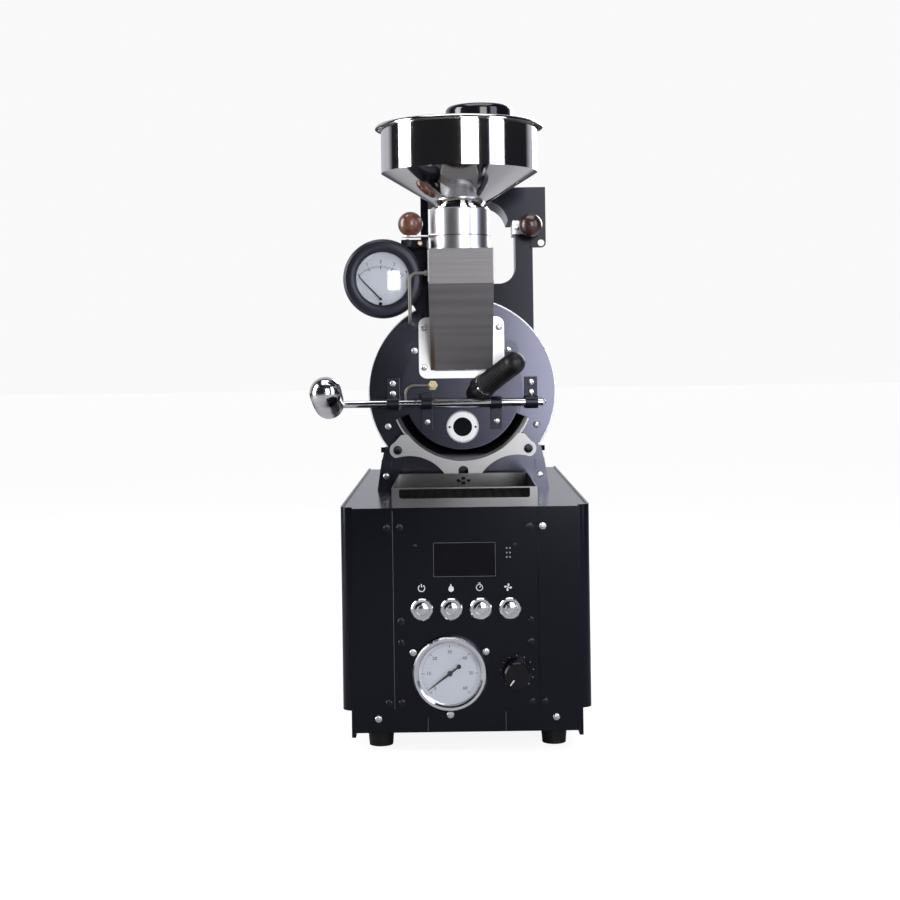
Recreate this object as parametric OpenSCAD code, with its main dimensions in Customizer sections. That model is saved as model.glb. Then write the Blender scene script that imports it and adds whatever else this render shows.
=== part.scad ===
// Drum coffee roaster for a kitchen counter.
// The front faces -Y. Lengths are in millimetres.

/* [Cabinet] */
// Width over the side panels
body_w = 250; // [246:1:262]
// Depth from the control panel to the back panel
body_d = 535; // [532:1:560]
// Height of the deck above the table
deck_z = 243; // [240:1:250]
// Height of the panels' lower edge above the table
skirt_z = 41; // [39:0.5:42]
// Thickness of the sheet metal
sheet = 2; // [1.5:0.25:2.5]
// Radius of the rounded front corners
corner_r = 12; // [8:1:16]
// Width of the control panel between the side panels
panel_w = 145; // [144:0.5:147]
// Height of the rubber feet
foot_h = 18; // [16:1:20]
// Diameter of a rubber foot
foot_d = 27; // [20:1:30]

/* [Controls] */
// Diameter of a push button's bezel
button_d = 22; // [20:0.5:24]
// Distance between two push buttons
button_pitch = 29.4; // [27:0.1:31]
// How far a push button travels
button_travel = 1.5; // [1:0.1:2]
// Diameter of the gas gauge's ring
gauge_d = 74.5; // [72:0.5:76]
// Diameter of the heat knob
knob_d = 27; // [24:1:30]
// Width of the display window
window_w = 63; // [56:1:66]
// Height of the display window
window_h = 35; // [30:1:38]

/* [Drum front] */
// Height of the drum's axis above the deck
drum_rise = 111.4; // [110:0.2:114]
// Radius of the round front plate
face_r = 106.4; // [104:0.2:108]
// Distance of the front plate behind the control panel
face_y = 210; // [208:1:212]
// Width of the front plate across its legs
leg_w = 195; // [190:1:200]
// Radius of the drum
drum_r = 80; // [76:1:82]
// Length of the drum
drum_len = 178; // [160:1:180]
// Number of mixing vanes in the drum
vanes = 6; // [4:1:8]

/* [Discharge door] */
// Radius of the half-round door
door_r = 64.4; // [62:0.2:65]
// Diameter of the pivot rod
rod_d = 8; // [7:0.5:9]
// Distance of the lever handle from the middle of the cabinet
handle_x = 150; // [145:1:155]
// Radius of the lever handle
handle_r = 17.7; // [16:0.1:19]
// Upward tilt of the lever handle
handle_tilt = 17; // [10:1:25]

/* [Cooling tray] */
// Width of the cooling tray
tray_w = 146; // [140:1:150]
// Depth of the cooling tray
tray_d = 184; // [175:1:186]
// Height of the cooling tray's rim above the deck
tray_h = 20; // [18:0.5:24]
// Distance between two holes of the perforated floor
hole_pitch = 10.4; // [10:0.1:13]

/* [Feed] */
// Width of the feed chute
chute_w = 70; // [68:0.5:72]
// Depth of the feed chute
chute_d = 66; // [65.5:0.5:68]
// Height of the chute's top above the deck
chute_rise = 266.5; // [260:0.5:272]
// Diameter of the feed valve
valve_d = 65; // [64:0.5:66]
// Diameter of the hopper's wall
hopper_d = 170; // [150:1:180]
// Height of the hopper from its neck to its rim
hopper_h = 87; // [80:1:95]
// Diameter of the two wooden balls
ball_d = 27; // [24:0.5:28]

/* [Exhaust] */
// Diameter of the exhaust pipe
pipe_d = 82; // [80:0.5:84]
// Height of the exhaust pipe
pipe_h = 104; // [90:1:120]
// Width of the exhaust housing
housing_w = 148; // [146:1:150]

/* [Hidden] */
$fn = 72;

black_metal = [0.10, 0.10, 0.14];
black_plastic = [0.06, 0.06, 0.07];
stainless = [0.75, 0.76, 0.78];
aluminium = [0.85, 0.85, 0.87];
steel = [0.60, 0.61, 0.63];
brass = [0.80, 0.68, 0.38];
wood = [0.55, 0.32, 0.22];
dial_white = [0.88, 0.90, 0.94];

eps = 0.01;
side_gap = 0.3;                     // between moving faces
run_gap = 0.05;                     // radial clearance of a running fit
post_z = 60;                        // top of the chassis walls
chassis_w = body_w - 18;
hem = 4;
fin_z = 13.5;
face_t = 8;
cover_y = face_y - 4;               // front of the cover plate
drum_z = deck_z + drum_rise;
drum_y = face_y + face_t + 4;
shell_r = face_r - 9.4;             // outside of the drum housing
shell_end = drum_y + drum_len + 8;
door_y = cover_y - side_gap - 6;    // front of the door
rod_y = face_y - 18;
rod_z = drum_z - 13.1;
rod_r = rod_d / 2;
arm_x = 39.4;
block_x = 78;
cover_r = 69;
ear_x = 53;
ear_z = drum_z + 46.2;
lug_x = 73.3;
lug_z = drum_z - 64.9;
funnel_y = face_y - 20;
sight_z = drum_z - 40.1;
chute_y = 105;
chute_mid = chute_y + chute_d / 2;
chute_top = deck_z + chute_rise;
chute_t = 1.5;
opening_x = 30;                     // half width of the feed opening
opening_z = [drum_z + 27, drum_z + 56];
flange_z = [drum_z + 14.8, drum_z + 84];
valve_r = valve_d / 2;
valve_bore = valve_r - 5.5;
gate_z = chute_top + 14.5;
gate_gap = 1.8;
gate_travel = 52;
valve_top = chute_top + 44.3;
neck_r = valve_bore - 0.8;
neck_z = valve_top + 4;
hopper_t = 1.2;
rim_r = 3.1;
rim_z = neck_z + hopper_h - rim_r - hopper_t / 2;
cone_top = neck_z + (hopper_d / 2 - neck_r) * 0.6;
gauge_x = -17;
gauge_z = 77.5;
gauge_r = gauge_d / 2;
knob_x = 50;
button_z = 141.4;
button_r = button_d / 2;
window_z = 191;
draft_x = -84;
draft_z = deck_z + 235.4;
draft_y = 110;
draft_r = 39.3;
needle_pivot_z = draft_z - 21.7;
duct_x = [66, 86.5];
duct_y = [292, 348];
duct_z = deck_z + 295;
hood_z = deck_z + 236.4;
arch_x = 28;
arch_z = deck_z + 305;
arch_r = 30;
housing_x = [arch_x - housing_w / 2, arch_x + housing_w / 2];
housing_y = [290, 390];
housing_z = [deck_z + 311, deck_z + 350];
step_z = housing_z[0] + 24;         // underside of the housing's left part
pipe_r = pipe_d / 2;
pipe_x = 26;
pipe_y = 338;
tryer_at = [27.8, face_y - 20, drum_z + 7.9];
tryer_lean = 66.7;
tryer_yaw = -57.5;
tryer_r = 8;
button_x = [for (i = [0 : 3]) (i - 1.5) * button_pitch];
handle_len = 44;                    // from the pivot rod to the middle of the handle's dome
motor_end = shell_end + 121;

// The origin is the middle of the object's footprint.
knob_front = -18;
mid_x = (body_w / 2 - handle_x - handle_r) / 2;
mid_y = (body_d + 24 + knob_front) / 2;

// Screw places on the front of the cabinet, as [x, z]
panel_points = concat(
    [for (s = [-1, 1], x = [65, 78], z = [48.4, deck_z - 19.5]) [s * x, z]],
    [for (s = [-1, 1], z = [108.3, 129.9]) [s * 65, z]]);
// Screw places on the drum front, as [x, y, z]: y is the face that the head rests on
front_points = concat(
    [for (s = [-1, 1]) [s * 84, face_y, drum_z - 39.2]],
    [for (s = [-1, 1]) [s * 87, face_y - 3, deck_z + 16]],
    [for (s = [-1, 1]) [s * ear_x, cover_y, ear_z]],
    [for (s = [-1, 1], h = [9.5, 21]) [s * block_x, face_y - 7, rod_z + h + 1.5]],
    [for (s = [-1, 1]) [s * 42.5, cover_y - 4, flange_z[1] - 12]],
    [[-42.5, cover_y - 4, flange_z[0] + 12.5]]);
// Screws round the gas gauge, and two on the chassis
low_points = concat(
    [for (a = [30, 150, 270])
        [gauge_x + 42 * cos(a), a == 270 ? sheet : 0, gauge_z + 42 * sin(a)]],
    [for (s = [-1, 1]) [s * 89, sheet, 32.1]]);

module placed() translate([-mid_x, -mid_y, 0]) children();

module slab(x, y, z)
    translate([x[0], y[0], z[0]]) cube([x[1] - x[0], y[1] - y[0], z[1] - z[0]]);

// A front view outline, extruded from y[0] to y[1]
module upright(y)
    translate([0, y[1], 0]) rotate([90, 0, 0]) linear_extrude(y[1] - y[0]) children();

// A side view outline, extruded from x[0] to x[1]
module sideways(x)
    translate([x[0], 0, 0]) rotate([90, 0, 90]) linear_extrude(x[1] - x[0]) children();

module rod_along_y(x, z, r, y)
    translate([x, y[0], z]) rotate([-90, 0, 0]) cylinder(r = r, h = y[1] - y[0]);

module rod_along_x(y, z, r, x)
    translate([x[0], y, z]) rotate([0, 90, 0]) cylinder(r = r, h = x[1] - x[0]);

// A turned piece on an axis along Y, drawn as [radius, y]
module turned(x, z) translate([x, 0, z]) rotate([-90, 0, 0]) rotate_extrude() children();

module rounded(w, h, r) {
    square([w - 2 * r, h], center = true);
    square([w, h - 2 * r], center = true);
    for (x = [-1, 1], y = [-1, 1])
        translate([x * (w / 2 - r), y * (h / 2 - r)]) circle(r, $fn = 32);
}

// A quarter of a round ring on the Z axis, from +X to +Y
module elbow(bend_r, r) rotate_extrude(angle = 90) translate([bend_r, 0]) circle(r, $fn = 32);

module screw_holes(points, r) for (p = points) rod_along_y(p[0], p[2], r, [p[1] - 6, p[1] + 3]);

module both_sides() {
    children();
    mirror([1, 0, 0]) children();
}

// ---- Cabinet ----

// The left half of the cabinet's plan, drawn in by i
module half_plan(i) {
    translate([corner_r - body_w / 2, corner_r]) circle(corner_r - i);
    translate([corner_r - body_w / 2, i]) square([body_w / 2 - corner_r, body_d - 2 * i]);
    translate([i - body_w / 2, corner_r]) square([corner_r, body_d - corner_r - i]);
}

module panel_holes(r, y) for (p = panel_points) rod_along_y(p[0], p[1], r, y);

module chassis_tray() color(black_metal) placed() difference() {
    slab([-chassis_w / 2, chassis_w / 2], [sheet, body_d - sheet], [fin_z, post_z]);
    slab([hem - chassis_w / 2, chassis_w / 2 - hem], [2 * sheet, body_d - 2 * sheet],
        [foot_h + sheet, post_z + 1]);
    slab([hem - chassis_w / 2, chassis_w / 2 - hem], [0, body_d], [0, foot_h]);
    rod_along_y(gauge_x, gauge_z, gauge_r - 4, [0, 3 * sheet]);
    panel_holes(2.2, [0, 3 * sheet]);
    screw_holes(low_points, 2.2);
    rod_along_y(knob_x, 60, 7, [body_d - 3 * sheet, body_d]);
}

module side_panel() {
    difference() {
        translate([0, 0, skirt_z]) linear_extrude(deck_z + 1.5 - skirt_z) difference() {
            half_plan(0);
            half_plan(sheet);
            translate([-panel_w / 2 - side_gap, -1]) square([body_w, body_d + 2]);
            translate([-body_w, body_d - sheet]) square([2 * body_w, 2 * sheet]);
        }
        panel_holes(2.2, [-1, 3 * sheet]);
        slab([-body_w / 2 + corner_r, 0], [-1, 3 * sheet], [deck_z, deck_z + 3]);
    }
    // The flange that the deck lies on
    slab([sheet - body_w / 2 - eps, 14 - body_w / 2], [corner_r, body_d - 2 * sheet],
        [deck_z - 2 * sheet, deck_z - sheet]);
    // The flange that joins it to the chassis
    slab([sheet - body_w / 2 - eps, -chassis_w / 2], [corner_r, body_d - 2 * sheet],
        [skirt_z, skirt_z + sheet]);
}

module left_side_panel() color(black_metal) placed() side_panel();
module right_side_panel() color(black_metal) placed() mirror([1, 0, 0]) side_panel();

module control_panel() color(black_metal) placed() difference() {
    slab([-panel_w / 2, panel_w / 2], [0, sheet], [skirt_z, deck_z]);
    panel_holes(2.2, [-1, 3 * sheet]);
    screw_holes(low_points, 2.2);
    translate([-1, 0, window_z]) upright([-1, 3 * sheet])
        rounded(window_w - 4, window_h - 4, 3);
    for (x = button_x) rod_along_y(x, button_z, button_r - 1.5, [-1, 3 * sheet]);
    rod_along_y(gauge_x, gauge_z, gauge_r - 5, [-1, 3 * sheet]);
    rod_along_y(knob_x, gauge_z, 5, [-1, 3 * sheet]);
}

module top_deck() color(black_metal) placed() difference() {
    translate([0, 0, deck_z - sheet]) linear_extrude(sheet)
        both_sides() half_plan(sheet);
    // Air drawn through the beans, the flames, and the gas pipe
    translate([0, tray_d / 2, 0]) cylinder(r = 54, h = deck_z + 1);
    slab([-45, 45], [drum_y + 18, shell_end - 20], [0, deck_z + 1]);
}

module back_panel() color(black_metal) placed() difference() {
    slab([sheet + side_gap - body_w / 2, body_w / 2 - sheet - side_gap],
        [body_d - sheet, body_d], [skirt_z, deck_z - sheet]);
    for (s = [-1, 1], i = [0 : 8])
        translate([s * 55, 0, 120 + 11 * i]) upright([body_d - 3 * sheet, body_d + 1])
            rounded(70, 4, 1.9);
    rod_along_y(knob_x, 60, 6, [body_d - 3 * sheet, body_d + 1]);
    // Power inlet
    translate([-60, 0, 75]) upright([body_d - 3 * sheet, body_d + 1]) rounded(28, 20, 3);
}

module feet() color(black_plastic) placed()
    for (s = [-1, 1], y = [32, body_d - 32])
        translate([s * 88, y, 0]) cylinder(d1 = foot_d - 3, d2 = foot_d, h = foot_h);

// ---- Controls ----

module display_window() color(black_plastic) placed() translate([-1, 0, window_z]) {
    upright([-1.5, 0]) rounded(window_w, window_h, 4);
    upright([0, 9]) rounded(window_w - 4.4, window_h - 4.4, 3);
}

module button_cap(i) color(black_plastic) placed()
    turned(button_x[i], button_z) polygon([[0, -4.5], [button_r - 4.6, -4.5],
        [button_r - 3.6, -3.8], [button_r - 3.6, 7], [0, 7]]);

module power_button() button_cap(0);
module flame_button() button_cap(1);
module timer_button() button_cap(2);
module fan_button() button_cap(3);

module button_bezels() color(steel) placed() for (x = button_x)
    turned(x, button_z) polygon([[button_r - 3.3, -2.6], [button_r - 1, -2.6], [button_r, -1.6],
        [button_r, 0], [button_r - 1.7, 0], [button_r - 1.7, 14], [0, 14], [0, 11],
        [button_r - 3.3, 11]]);

module pressure_gauge_case() color(steel) placed() turned(gauge_x, gauge_z)
    polygon([[0, -1], [gauge_r - 5.8, -1], [gauge_r - 5.8, -7], [gauge_r - 4, -8.5],
        [gauge_r - 1.5, -8.5], [gauge_r, -6.5], [gauge_r, 0], [gauge_r - 5.5, 0],
        [gauge_r - 5.5, 28], [0, 28]]);

// A needle that points along +X, with its hub
module needle_outline(len, tail, w) {
    circle(w * 1.6, $fn = 32);
    polygon([[-tail, -w / 2], [0, -w], [len, -0.35], [len, 0.35], [0, w], [-tail, w / 2]]);
}

module pressure_needle() color(black_plastic) placed() translate([gauge_x, 0, gauge_z]) {
    upright([-3.4, -2.6]) rotate(216.9) needle_outline(27.5, 12.5, 1.2);
    rod_along_y(0, 0, 2.6, [-4, -1.2]);
}

module gauge_glasses() color([0.8, 0.9, 0.95, 0.4]) placed() {
    rod_along_y(gauge_x, gauge_z, gauge_r - 5.8, [-6.2, -5]);
    rod_along_y(draft_x, draft_z, 28.7, [draft_y + 1.5, draft_y + 2.7]);
}

module heat_knob() color(black_plastic) placed() {
    turned(knob_x, gauge_z) polygon([[0, knob_front], [knob_d / 2 - 2, knob_front],
        [knob_d / 2 - 0.5, knob_front + 1.5], [knob_d / 2, -1], [5, -1], [3, 0], [3, 12], [0, 12]]);
}

module gas_burner() color(brass) placed() {
    tube_r = 4;
    riser = [30, drum_y + 60, drum_z - drum_r - 20];
    // Valve behind the heat knob
    difference() {
        slab([knob_x - 11, knob_x + 11], [6, 38], [gauge_z - 26, gauge_z + 11]);
        rod_along_y(knob_x, gauge_z, 3 + run_gap, [5, 14]);
    }
    // Supply from the back, with its hose barb
    rod_along_y(knob_x, 60, tube_r, [37, body_d + 2]);
    turned(knob_x, 60) polygon([[0, body_d + 1], [8, body_d + 1], [8, body_d + 7], [4, body_d + 7],
        for (i = [0 : 2]) each [[4.8, body_d + 9 + 5 * i], [4, body_d + 13 + 5 * i]],
        [4, body_d + 24], [0, body_d + 24]]);
    // Feed to the burner
    rod_along_y(knob_x, gauge_z, tube_r, [37, riser[1]]);
    translate([knob_x, riser[1], gauge_z]) sphere(tube_r);
    rod_along_x(riser[1], gauge_z, tube_r, [riser[0], knob_x]);
    translate([riser[0], riser[1], gauge_z]) {
        sphere(tube_r);
        cylinder(r = tube_r, h = riser[2] - gauge_z);
    }
    translate(riser) sphere(tube_r);
    rod_along_x(riser[1], riser[2], tube_r, [0, riser[0]]);
    // Burner tube with its flame slots
    difference() {
        rod_along_y(0, riser[2], 9, [drum_y + 12, shell_end - 16]);
        for (i = [0 : 13])
            slab([-4, 4], [drum_y + 20 + 10 * i, drum_y + 22 + 10 * i], [riser[2] + 6, riser[2] + 10]);
    }
}

// A pan head screw whose head rests on the plane y, with a shank of the given length
module pan_screw(x, y, z, r, len) {
    turned(x, z) polygon([[0, y - 2.6], [r - 1.4, y - 2.6], [r, y - 1], [r, y], [2, y],
        [2, y + len], [0, y + len]]);
}

module screws() color(steel) placed() {
    for (p = panel_points) pan_screw(p[0], 0, p[1], 3.7, 2 * sheet);
    for (p = front_points) pan_screw(p[0], p[1], p[2], 3.8, 3);
    // Bolts of the discharge funnel
    for (s = [-1, 1]) pan_screw(s * lug_x, funnel_y - 1.5, lug_z, 5.1, 10);
    for (p = low_points) pan_screw(p[0], p[1], p[2], 3.7, 3);
}

// ---- Drum front ----

module front_plate() color(black_metal) placed() difference() {
    union() {
        turned(0, drum_z) polygon([[0, face_y], [face_r - 1.2, face_y], [face_r, face_y + 1.2],
            [face_r, face_y + face_t], [0, face_y + face_t]]);
        upright([face_y, face_y + face_t])
            polygon([[-leg_w / 2, deck_z], [leg_w / 2, deck_z], [leg_w / 2 - 4.3, deck_z + 28.6],
                [leg_w / 2 - 9.1, deck_z + 49], [9.1 - leg_w / 2, deck_z + 49],
                [4.3 - leg_w / 2, deck_z + 28.6]]);
        // Angle brackets on the legs
        both_sides() {
            slab([81.5, 92.4], [face_y - 3, face_y + eps], [deck_z, deck_z + 34.5]);
            slab([81.5, 92.4], [face_y - 14, face_y], [deck_z, deck_z + 3]);
        }
    }
    rod_along_y(0, drum_z, cover_r - 3, [face_y - 1, face_y + face_t + 1]);
    screw_holes(front_points, 2.2);
    both_sides() rod_along_y(lug_x, lug_z, 2.7, [face_y - 1, face_y + face_t + 1]);
}

module tryer_axis() translate(tryer_at) rotate([0, tryer_lean, tryer_yaw]) children();

module cover_plate() color(black_metal) placed() difference() {
    union() {
        rod_along_y(0, drum_z, cover_r, [cover_y, face_y]);
        both_sides() rod_along_y(ear_x, ear_z, 11.3, [cover_y, face_y]);
    }
    // Discharge opening
    intersection() {
        rod_along_y(0, drum_z, door_r - 4.4, [cover_y - 1, face_y + 1]);
        slab([-door_r, door_r], [cover_y - 1, face_y + 1], [0, rod_z - 6]);
    }
    // Feed opening
    slab([-opening_x, opening_x], [cover_y - 1, face_y + 1], opening_z);
    tryer_axis() translate([0, 0, -60]) cylinder(r = tryer_r + 1, h = 60);
    rod_along_y(-33.2, drum_z + 7, 3.2, [cover_y - 1, face_y + 1]);
    screw_holes(front_points, 2.2);
}

// Front view of the housing round the drum, drawn in by i
module shell_outline(i) {
    translate([0, drum_z]) circle(shell_r - i, $fn = 96);
    translate([i - 85, deck_z - i]) square([2 * (85 - i), drum_rise]);
}

module drum_housing() color(black_metal) placed() difference() {
    upright([face_y + face_t, shell_end + 3]) shell_outline(0);
    upright([face_y, shell_end]) shell_outline(sheet);
    // Smoke outlet under the exhaust duct
    slab([10, 60], [duct_y[0] + 4, duct_y[1] - 4], [drum_z + 40, drum_z + shell_r]);
    rod_along_y(0, drum_z, 12, [shell_end - 1, shell_end + 4]);
}

module drum() color(steel) placed() {
    turned(0, drum_z) polygon([[drum_r - 8, drum_y], [drum_r, drum_y],
        [drum_r, drum_y + drum_len], [6, drum_y + drum_len], [6, drum_y + drum_len - 2],
        [drum_r - 1.6, drum_y + drum_len - 2], [drum_r - 1.6, drum_y + 2],
        [drum_r - 8, drum_y + 2]]);
    // Hub
    turned(0, drum_z) polygon([[6, drum_y + drum_len - 10], [14, drum_y + drum_len - 10],
        [20, drum_y + drum_len - 2 + eps], [6, drum_y + drum_len - 2 + eps]]);
    // Pitched vanes
    intersection() {
        rod_along_y(0, drum_z, drum_r - 1, [drum_y + 4, drum_y + drum_len - 1]);
        translate([0, drum_y + drum_len / 2, drum_z]) for (i = [0 : vanes - 1])
            rotate([0, i * 360 / vanes, 0]) rotate([i % 2 == 0 ? 12 : -12, 0, 0])
                translate([drum_r - 22, -drum_len / 2 + 6, -0.9]) cube([24, drum_len - 8, 1.8]);
    }
}

module drum_shaft() color(steel) placed() {
    rod_along_y(0, drum_z, 6, [drum_y + drum_len - 14, shell_end + 46]);
    rod_along_y(0, drum_z, 5, [shell_end + 40, shell_end + 60]);
    // Coupling
    turned(0, drum_z) polygon([[5, shell_end + 28], [11, shell_end + 28], [11, shell_end + 37],
        [9, shell_end + 37], [9, shell_end + 39], [11, shell_end + 39], [11, shell_end + 48],
        [5, shell_end + 48]]);
}

module shaft_bearing() color(aluminium) placed() difference() {
    union() {
        turned(0, drum_z) polygon([[0, shell_end + 3], [16, shell_end + 3],
            [16, shell_end + 23], [14, shell_end + 25], [0, shell_end + 25]]);
        translate([0, 0, drum_z]) upright([shell_end + 3, shell_end + 8]) rounded(52, 52, 8);
    }
    rod_along_y(0, drum_z, 6 + run_gap, [shell_end, shell_end + 26]);
}

module drum_motor() color(black_metal) placed() {
    plate_y = shell_end + 52;
    difference() {
        union() {
            translate([0, 0, drum_z]) upright([plate_y + 4, plate_y + 28]) rounded(60, 60, 6);
            rod_along_y(0, drum_z, 27, [plate_y + 28, motor_end - 4]);
            rod_along_y(0, drum_z, 20, [motor_end - 4, motor_end]);
            // Bracket down to the deck
            slab([-34, 34], [plate_y, plate_y + 4], [deck_z, drum_z + 34]);
            slab([-34, 34], [plate_y, plate_y + 50], [deck_z, deck_z + 4]);
            both_sides() sideways([30, 34])
                polygon([[plate_y, deck_z], [plate_y + 44, deck_z], [plate_y + 4, drum_z - 34],
                    [plate_y, drum_z - 34]]);
        }
        rod_along_y(0, drum_z, 5 + run_gap, [plate_y - 1, plate_y + 9]);
    }
}

// ---- Discharge door ----

module discharge_door() color(black_metal) placed() difference() {
    intersection() {
        rod_along_y(0, drum_z, door_r, [door_y, door_y + 6]);
        slab([-door_r, door_r], [door_y - 1, door_y + 7], [0, rod_z - 4.3]);
    }
    rod_along_y(0, sight_z, 10.7, [door_y - 1, door_y + 7]);
}

module sight_ring() color(stainless) placed() turned(0, sight_z)
    polygon([[10.7, door_y - 4], [16.6, door_y - 4], [18.1, door_y - 2.5], [18.1, door_y],
        [10.7, door_y]]);

module sight_glass() color([0.1, 0.1, 0.12]) placed()
    rod_along_y(0, sight_z, 10.7, [door_y + 0.3, door_y + 3.3]);

module door_arms() color(black_metal) placed() {
    for (x = [-arm_x - 0.6, arm_x - 0.6 - 0.6]) sideways([x - 6, x + 6]) difference() {
        union() {
            translate([rod_y, rod_z]) circle(6.6);
            translate([door_y - 5, rod_z - 30]) square([5, 30]);
            translate([rod_y, rod_z - 6.6]) square([door_y - rod_y, 8]);
            // The left arm carries the stop
            if (x < 0) translate([rod_y - 2.5, rod_z]) square([5, 11]);
        }
        translate([rod_y, rod_z]) circle(rod_r);
    }
}

module pivot_rod() color(stainless) placed() {
    rod_along_x(rod_y, rod_z, rod_r, [4 - handle_x, 90]);
    translate([90, rod_y, rod_z]) sphere(rod_r);
    rod_along_x(rod_y, rod_z, rod_r + 1, [-31.5, 31.5]);
}

module lever_handle() color(stainless) placed() difference() {
    translate([-handle_x, rod_y, rod_z + 1.5]) rotate([90 - handle_tilt, 0, 0]) rotate_extrude() {
        intersection() {
            translate([0, handle_len]) circle(handle_r);
            translate([0, handle_len - 1]) square([handle_r, handle_r + 1]);
        }
        polygon([[0, -13], [11, -13], [14.5, -11], [16.4, -6], [handle_r - 0.3, 12],
            [handle_r, handle_len], [0, handle_len]]);
    }
    rod_along_x(rod_y, rod_z, rod_r, [4 - handle_x, 0]);
}

module bearing_blocks() color(black_metal) placed() both_sides()
    difference() {
        sideways([block_x - 7, block_x + 7]) difference() {
            union() {
                translate([rod_y, rod_z]) circle(7);
                translate([rod_y, rod_z - 7]) square([face_y - rod_y, 14]);
                translate([face_y - 7, rod_z - 7]) square([7, 35.5]);
            }
            translate([rod_y, rod_z]) circle(rod_r + run_gap);
        }
        screw_holes(front_points, 2.2);
    }

module discharge_funnel() color(stainless) placed() difference() {
    union() {
        // Half cone that guides the beans
        translate([0, 0, drum_z]) rotate([-90, 0, 0]) rotate([0, 0, 22.6])
            rotate_extrude(angle = 134.8, $fn = 96) polygon([[66, cover_y],
                [67.5, cover_y], [80.9, funnel_y - 1], [79.4, funnel_y - 1]]);
        upright([funnel_y - 1.5, funnel_y]) difference() {
            both_sides() {
                translate([lug_x, lug_z]) circle(9);
                polygon([[0, lug_z - 50], [20, lug_z - 50], [lug_x - 2, lug_z - 8.8],
                    [lug_x, lug_z], [lug_x + 8.4, lug_z + 3.2], [69, lug_z + 17],
                    [0, lug_z + 17]]);
            }
            translate([0, drum_z]) circle(78);
            both_sides() translate([60.8, drum_z - 120.9]) circle(49.3);
            translate([-100, 0]) square([200, deck_z + 8]);
            translate([0, deck_z + 22.3]) circle(5.6);
        }
        both_sides() rod_along_y(lug_x, lug_z, 6, [funnel_y - 1, face_y]);
    }
    both_sides() rod_along_y(lug_x, lug_z, 2.1, [funnel_y - 5, face_y + 1]);
}

// ---- Cooling tray ----

tray_z = deck_z + 0.2;
tray_top = deck_z + tray_h;
tray_t = 1.5;

module cooling_tray() color(stainless) placed() difference() {
    slab([-tray_w / 2, tray_w / 2], [0, tray_d], [tray_z, tray_top]);
    // Inside, above the ledge that carries the perforated floor
    slab([tray_t - tray_w / 2, tray_w / 2 - tray_t], [tray_t, tray_d - tray_t],
        [tray_z + tray_t, tray_top + 1]);
    slab([7 - tray_w / 2, tray_w / 2 - 7], [8, tray_d - 8], [tray_z - 1, tray_top]);
    // Finger slot in the front wall
    translate([0, 0, deck_z + 14]) upright([-1, tray_t + 1]) {
        rounded(tray_w - 15, 9.6, 2.4);
        translate([7.5 - tray_w / 2, 0]) square([tray_w - 15, 4.8]);
    }
    // Small square holes in the back wall
    for (p = [[-5.6, 11.8], [0, 14.5], [0, 9.1], [5.6, 11.8]])
        slab([p[0] - 1.1, p[0] + 1.1], [tray_d - 3, tray_d + 1],
            [deck_z + p[1] - 1.1, deck_z + p[1] + 1.1]);
}

module tray_floor() color(steel) placed() difference() {
    z = tray_z + tray_t;
    nx = floor((tray_w - 18) / hole_pitch / 2);
    ny = floor((tray_d - 20) / hole_pitch / 2);
    slab([tray_t + 0.2 - tray_w / 2, tray_w / 2 - tray_t - 0.2],
        [tray_t + 0.2, tray_d - tray_t - 0.2], [z, z + 1.2]);
    for (i = [-nx : nx], j = [-ny : ny])
        translate([i * hole_pitch, tray_d / 2 + j * hole_pitch, z - 1])
            cylinder(d = 4.4, h = 4, $fn = 16);
}

module cooling_fan() color(black_plastic) placed() translate([0, tray_d / 2, deck_z - 28]) {
    cylinder(r = 19, h = 22);
    intersection() {
        cylinder(r = 52, h = 22);
        for (i = [0 : 6]) rotate([0, 0, i * 360 / 7])
            translate([15, 0, 11]) rotate([38, 0, 0]) translate([0, -15, -0.9]) cube([40, 30, 1.8]);
    }
}

module cooling_fan_housing() color(black_plastic) placed() translate([0, tray_d / 2, 0]) {
    z0 = deck_z - 34;
    difference() {
        translate([0, 0, z0]) linear_extrude(deck_z - sheet - z0) rounded(120, 120, 6);
        translate([0, 0, z0 - 1]) cylinder(r = 54, h = 50);
        for (x = [-52, 52], y = [-52, 52]) translate([x, y, z0 - 1]) cylinder(r = 2.2, h = 50);
    }
    // Struts and motor seat below the fan
    translate([0, 0, z0]) {
        cylinder(r = 20, h = 5);
        for (i = [0 : 3]) rotate([0, 0, 45 + 90 * i]) translate([18, -3, 0]) cube([37, 6, 3]);
    }
}

// ---- Sampling scoop ----

module tryer_sleeve() color(black_metal) placed() difference() {
    intersection() {
        tryer_axis() translate([0, 0, -40]) cylinder(r = 11, h = 36.8);
        slab([-50, 90], [0, cover_y], [0, 900]);
    }
    tryer_axis() translate([0, 0, -60]) cylinder(r = tryer_r + run_gap, h = 60);
}

module tryer_collar() color(stainless) placed() tryer_axis() difference() {
    translate([0, 0, -2.9]) cylinder(r = 13, h = 2.7);
    translate([0, 0, -4]) cylinder(r = tryer_r + run_gap, h = 5);
}

module tryer_scoop() color(stainless) placed() tryer_axis() difference() {
    translate([0, 0, -95]) cylinder(r = tryer_r, h = 95.2);
    translate([0, 0, -94]) cylinder(r = tryer_r - 1, h = 94);
    // Spoon end, open upwards
    translate([-20, -20, -92]) cube([20, 40, 58]);
}

module tryer_handle() color(black_plastic) placed() tryer_axis() rotate_extrude() {
    r = 12.3;
    len = 59;
    polygon([[0, 0.2], [r, 0.2], for (i = [0 : 8]) each
        [[r, 5 + 5 * i], [r - 0.7, 6 + 5 * i], [r - 0.7, 7 + 5 * i], [r, 8 + 5 * i]],
        [r, len], [0, len]]);
    intersection() {
        translate([0, len]) circle(r);
        translate([0, len - 1]) square(r + 2);
    }
}

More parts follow.
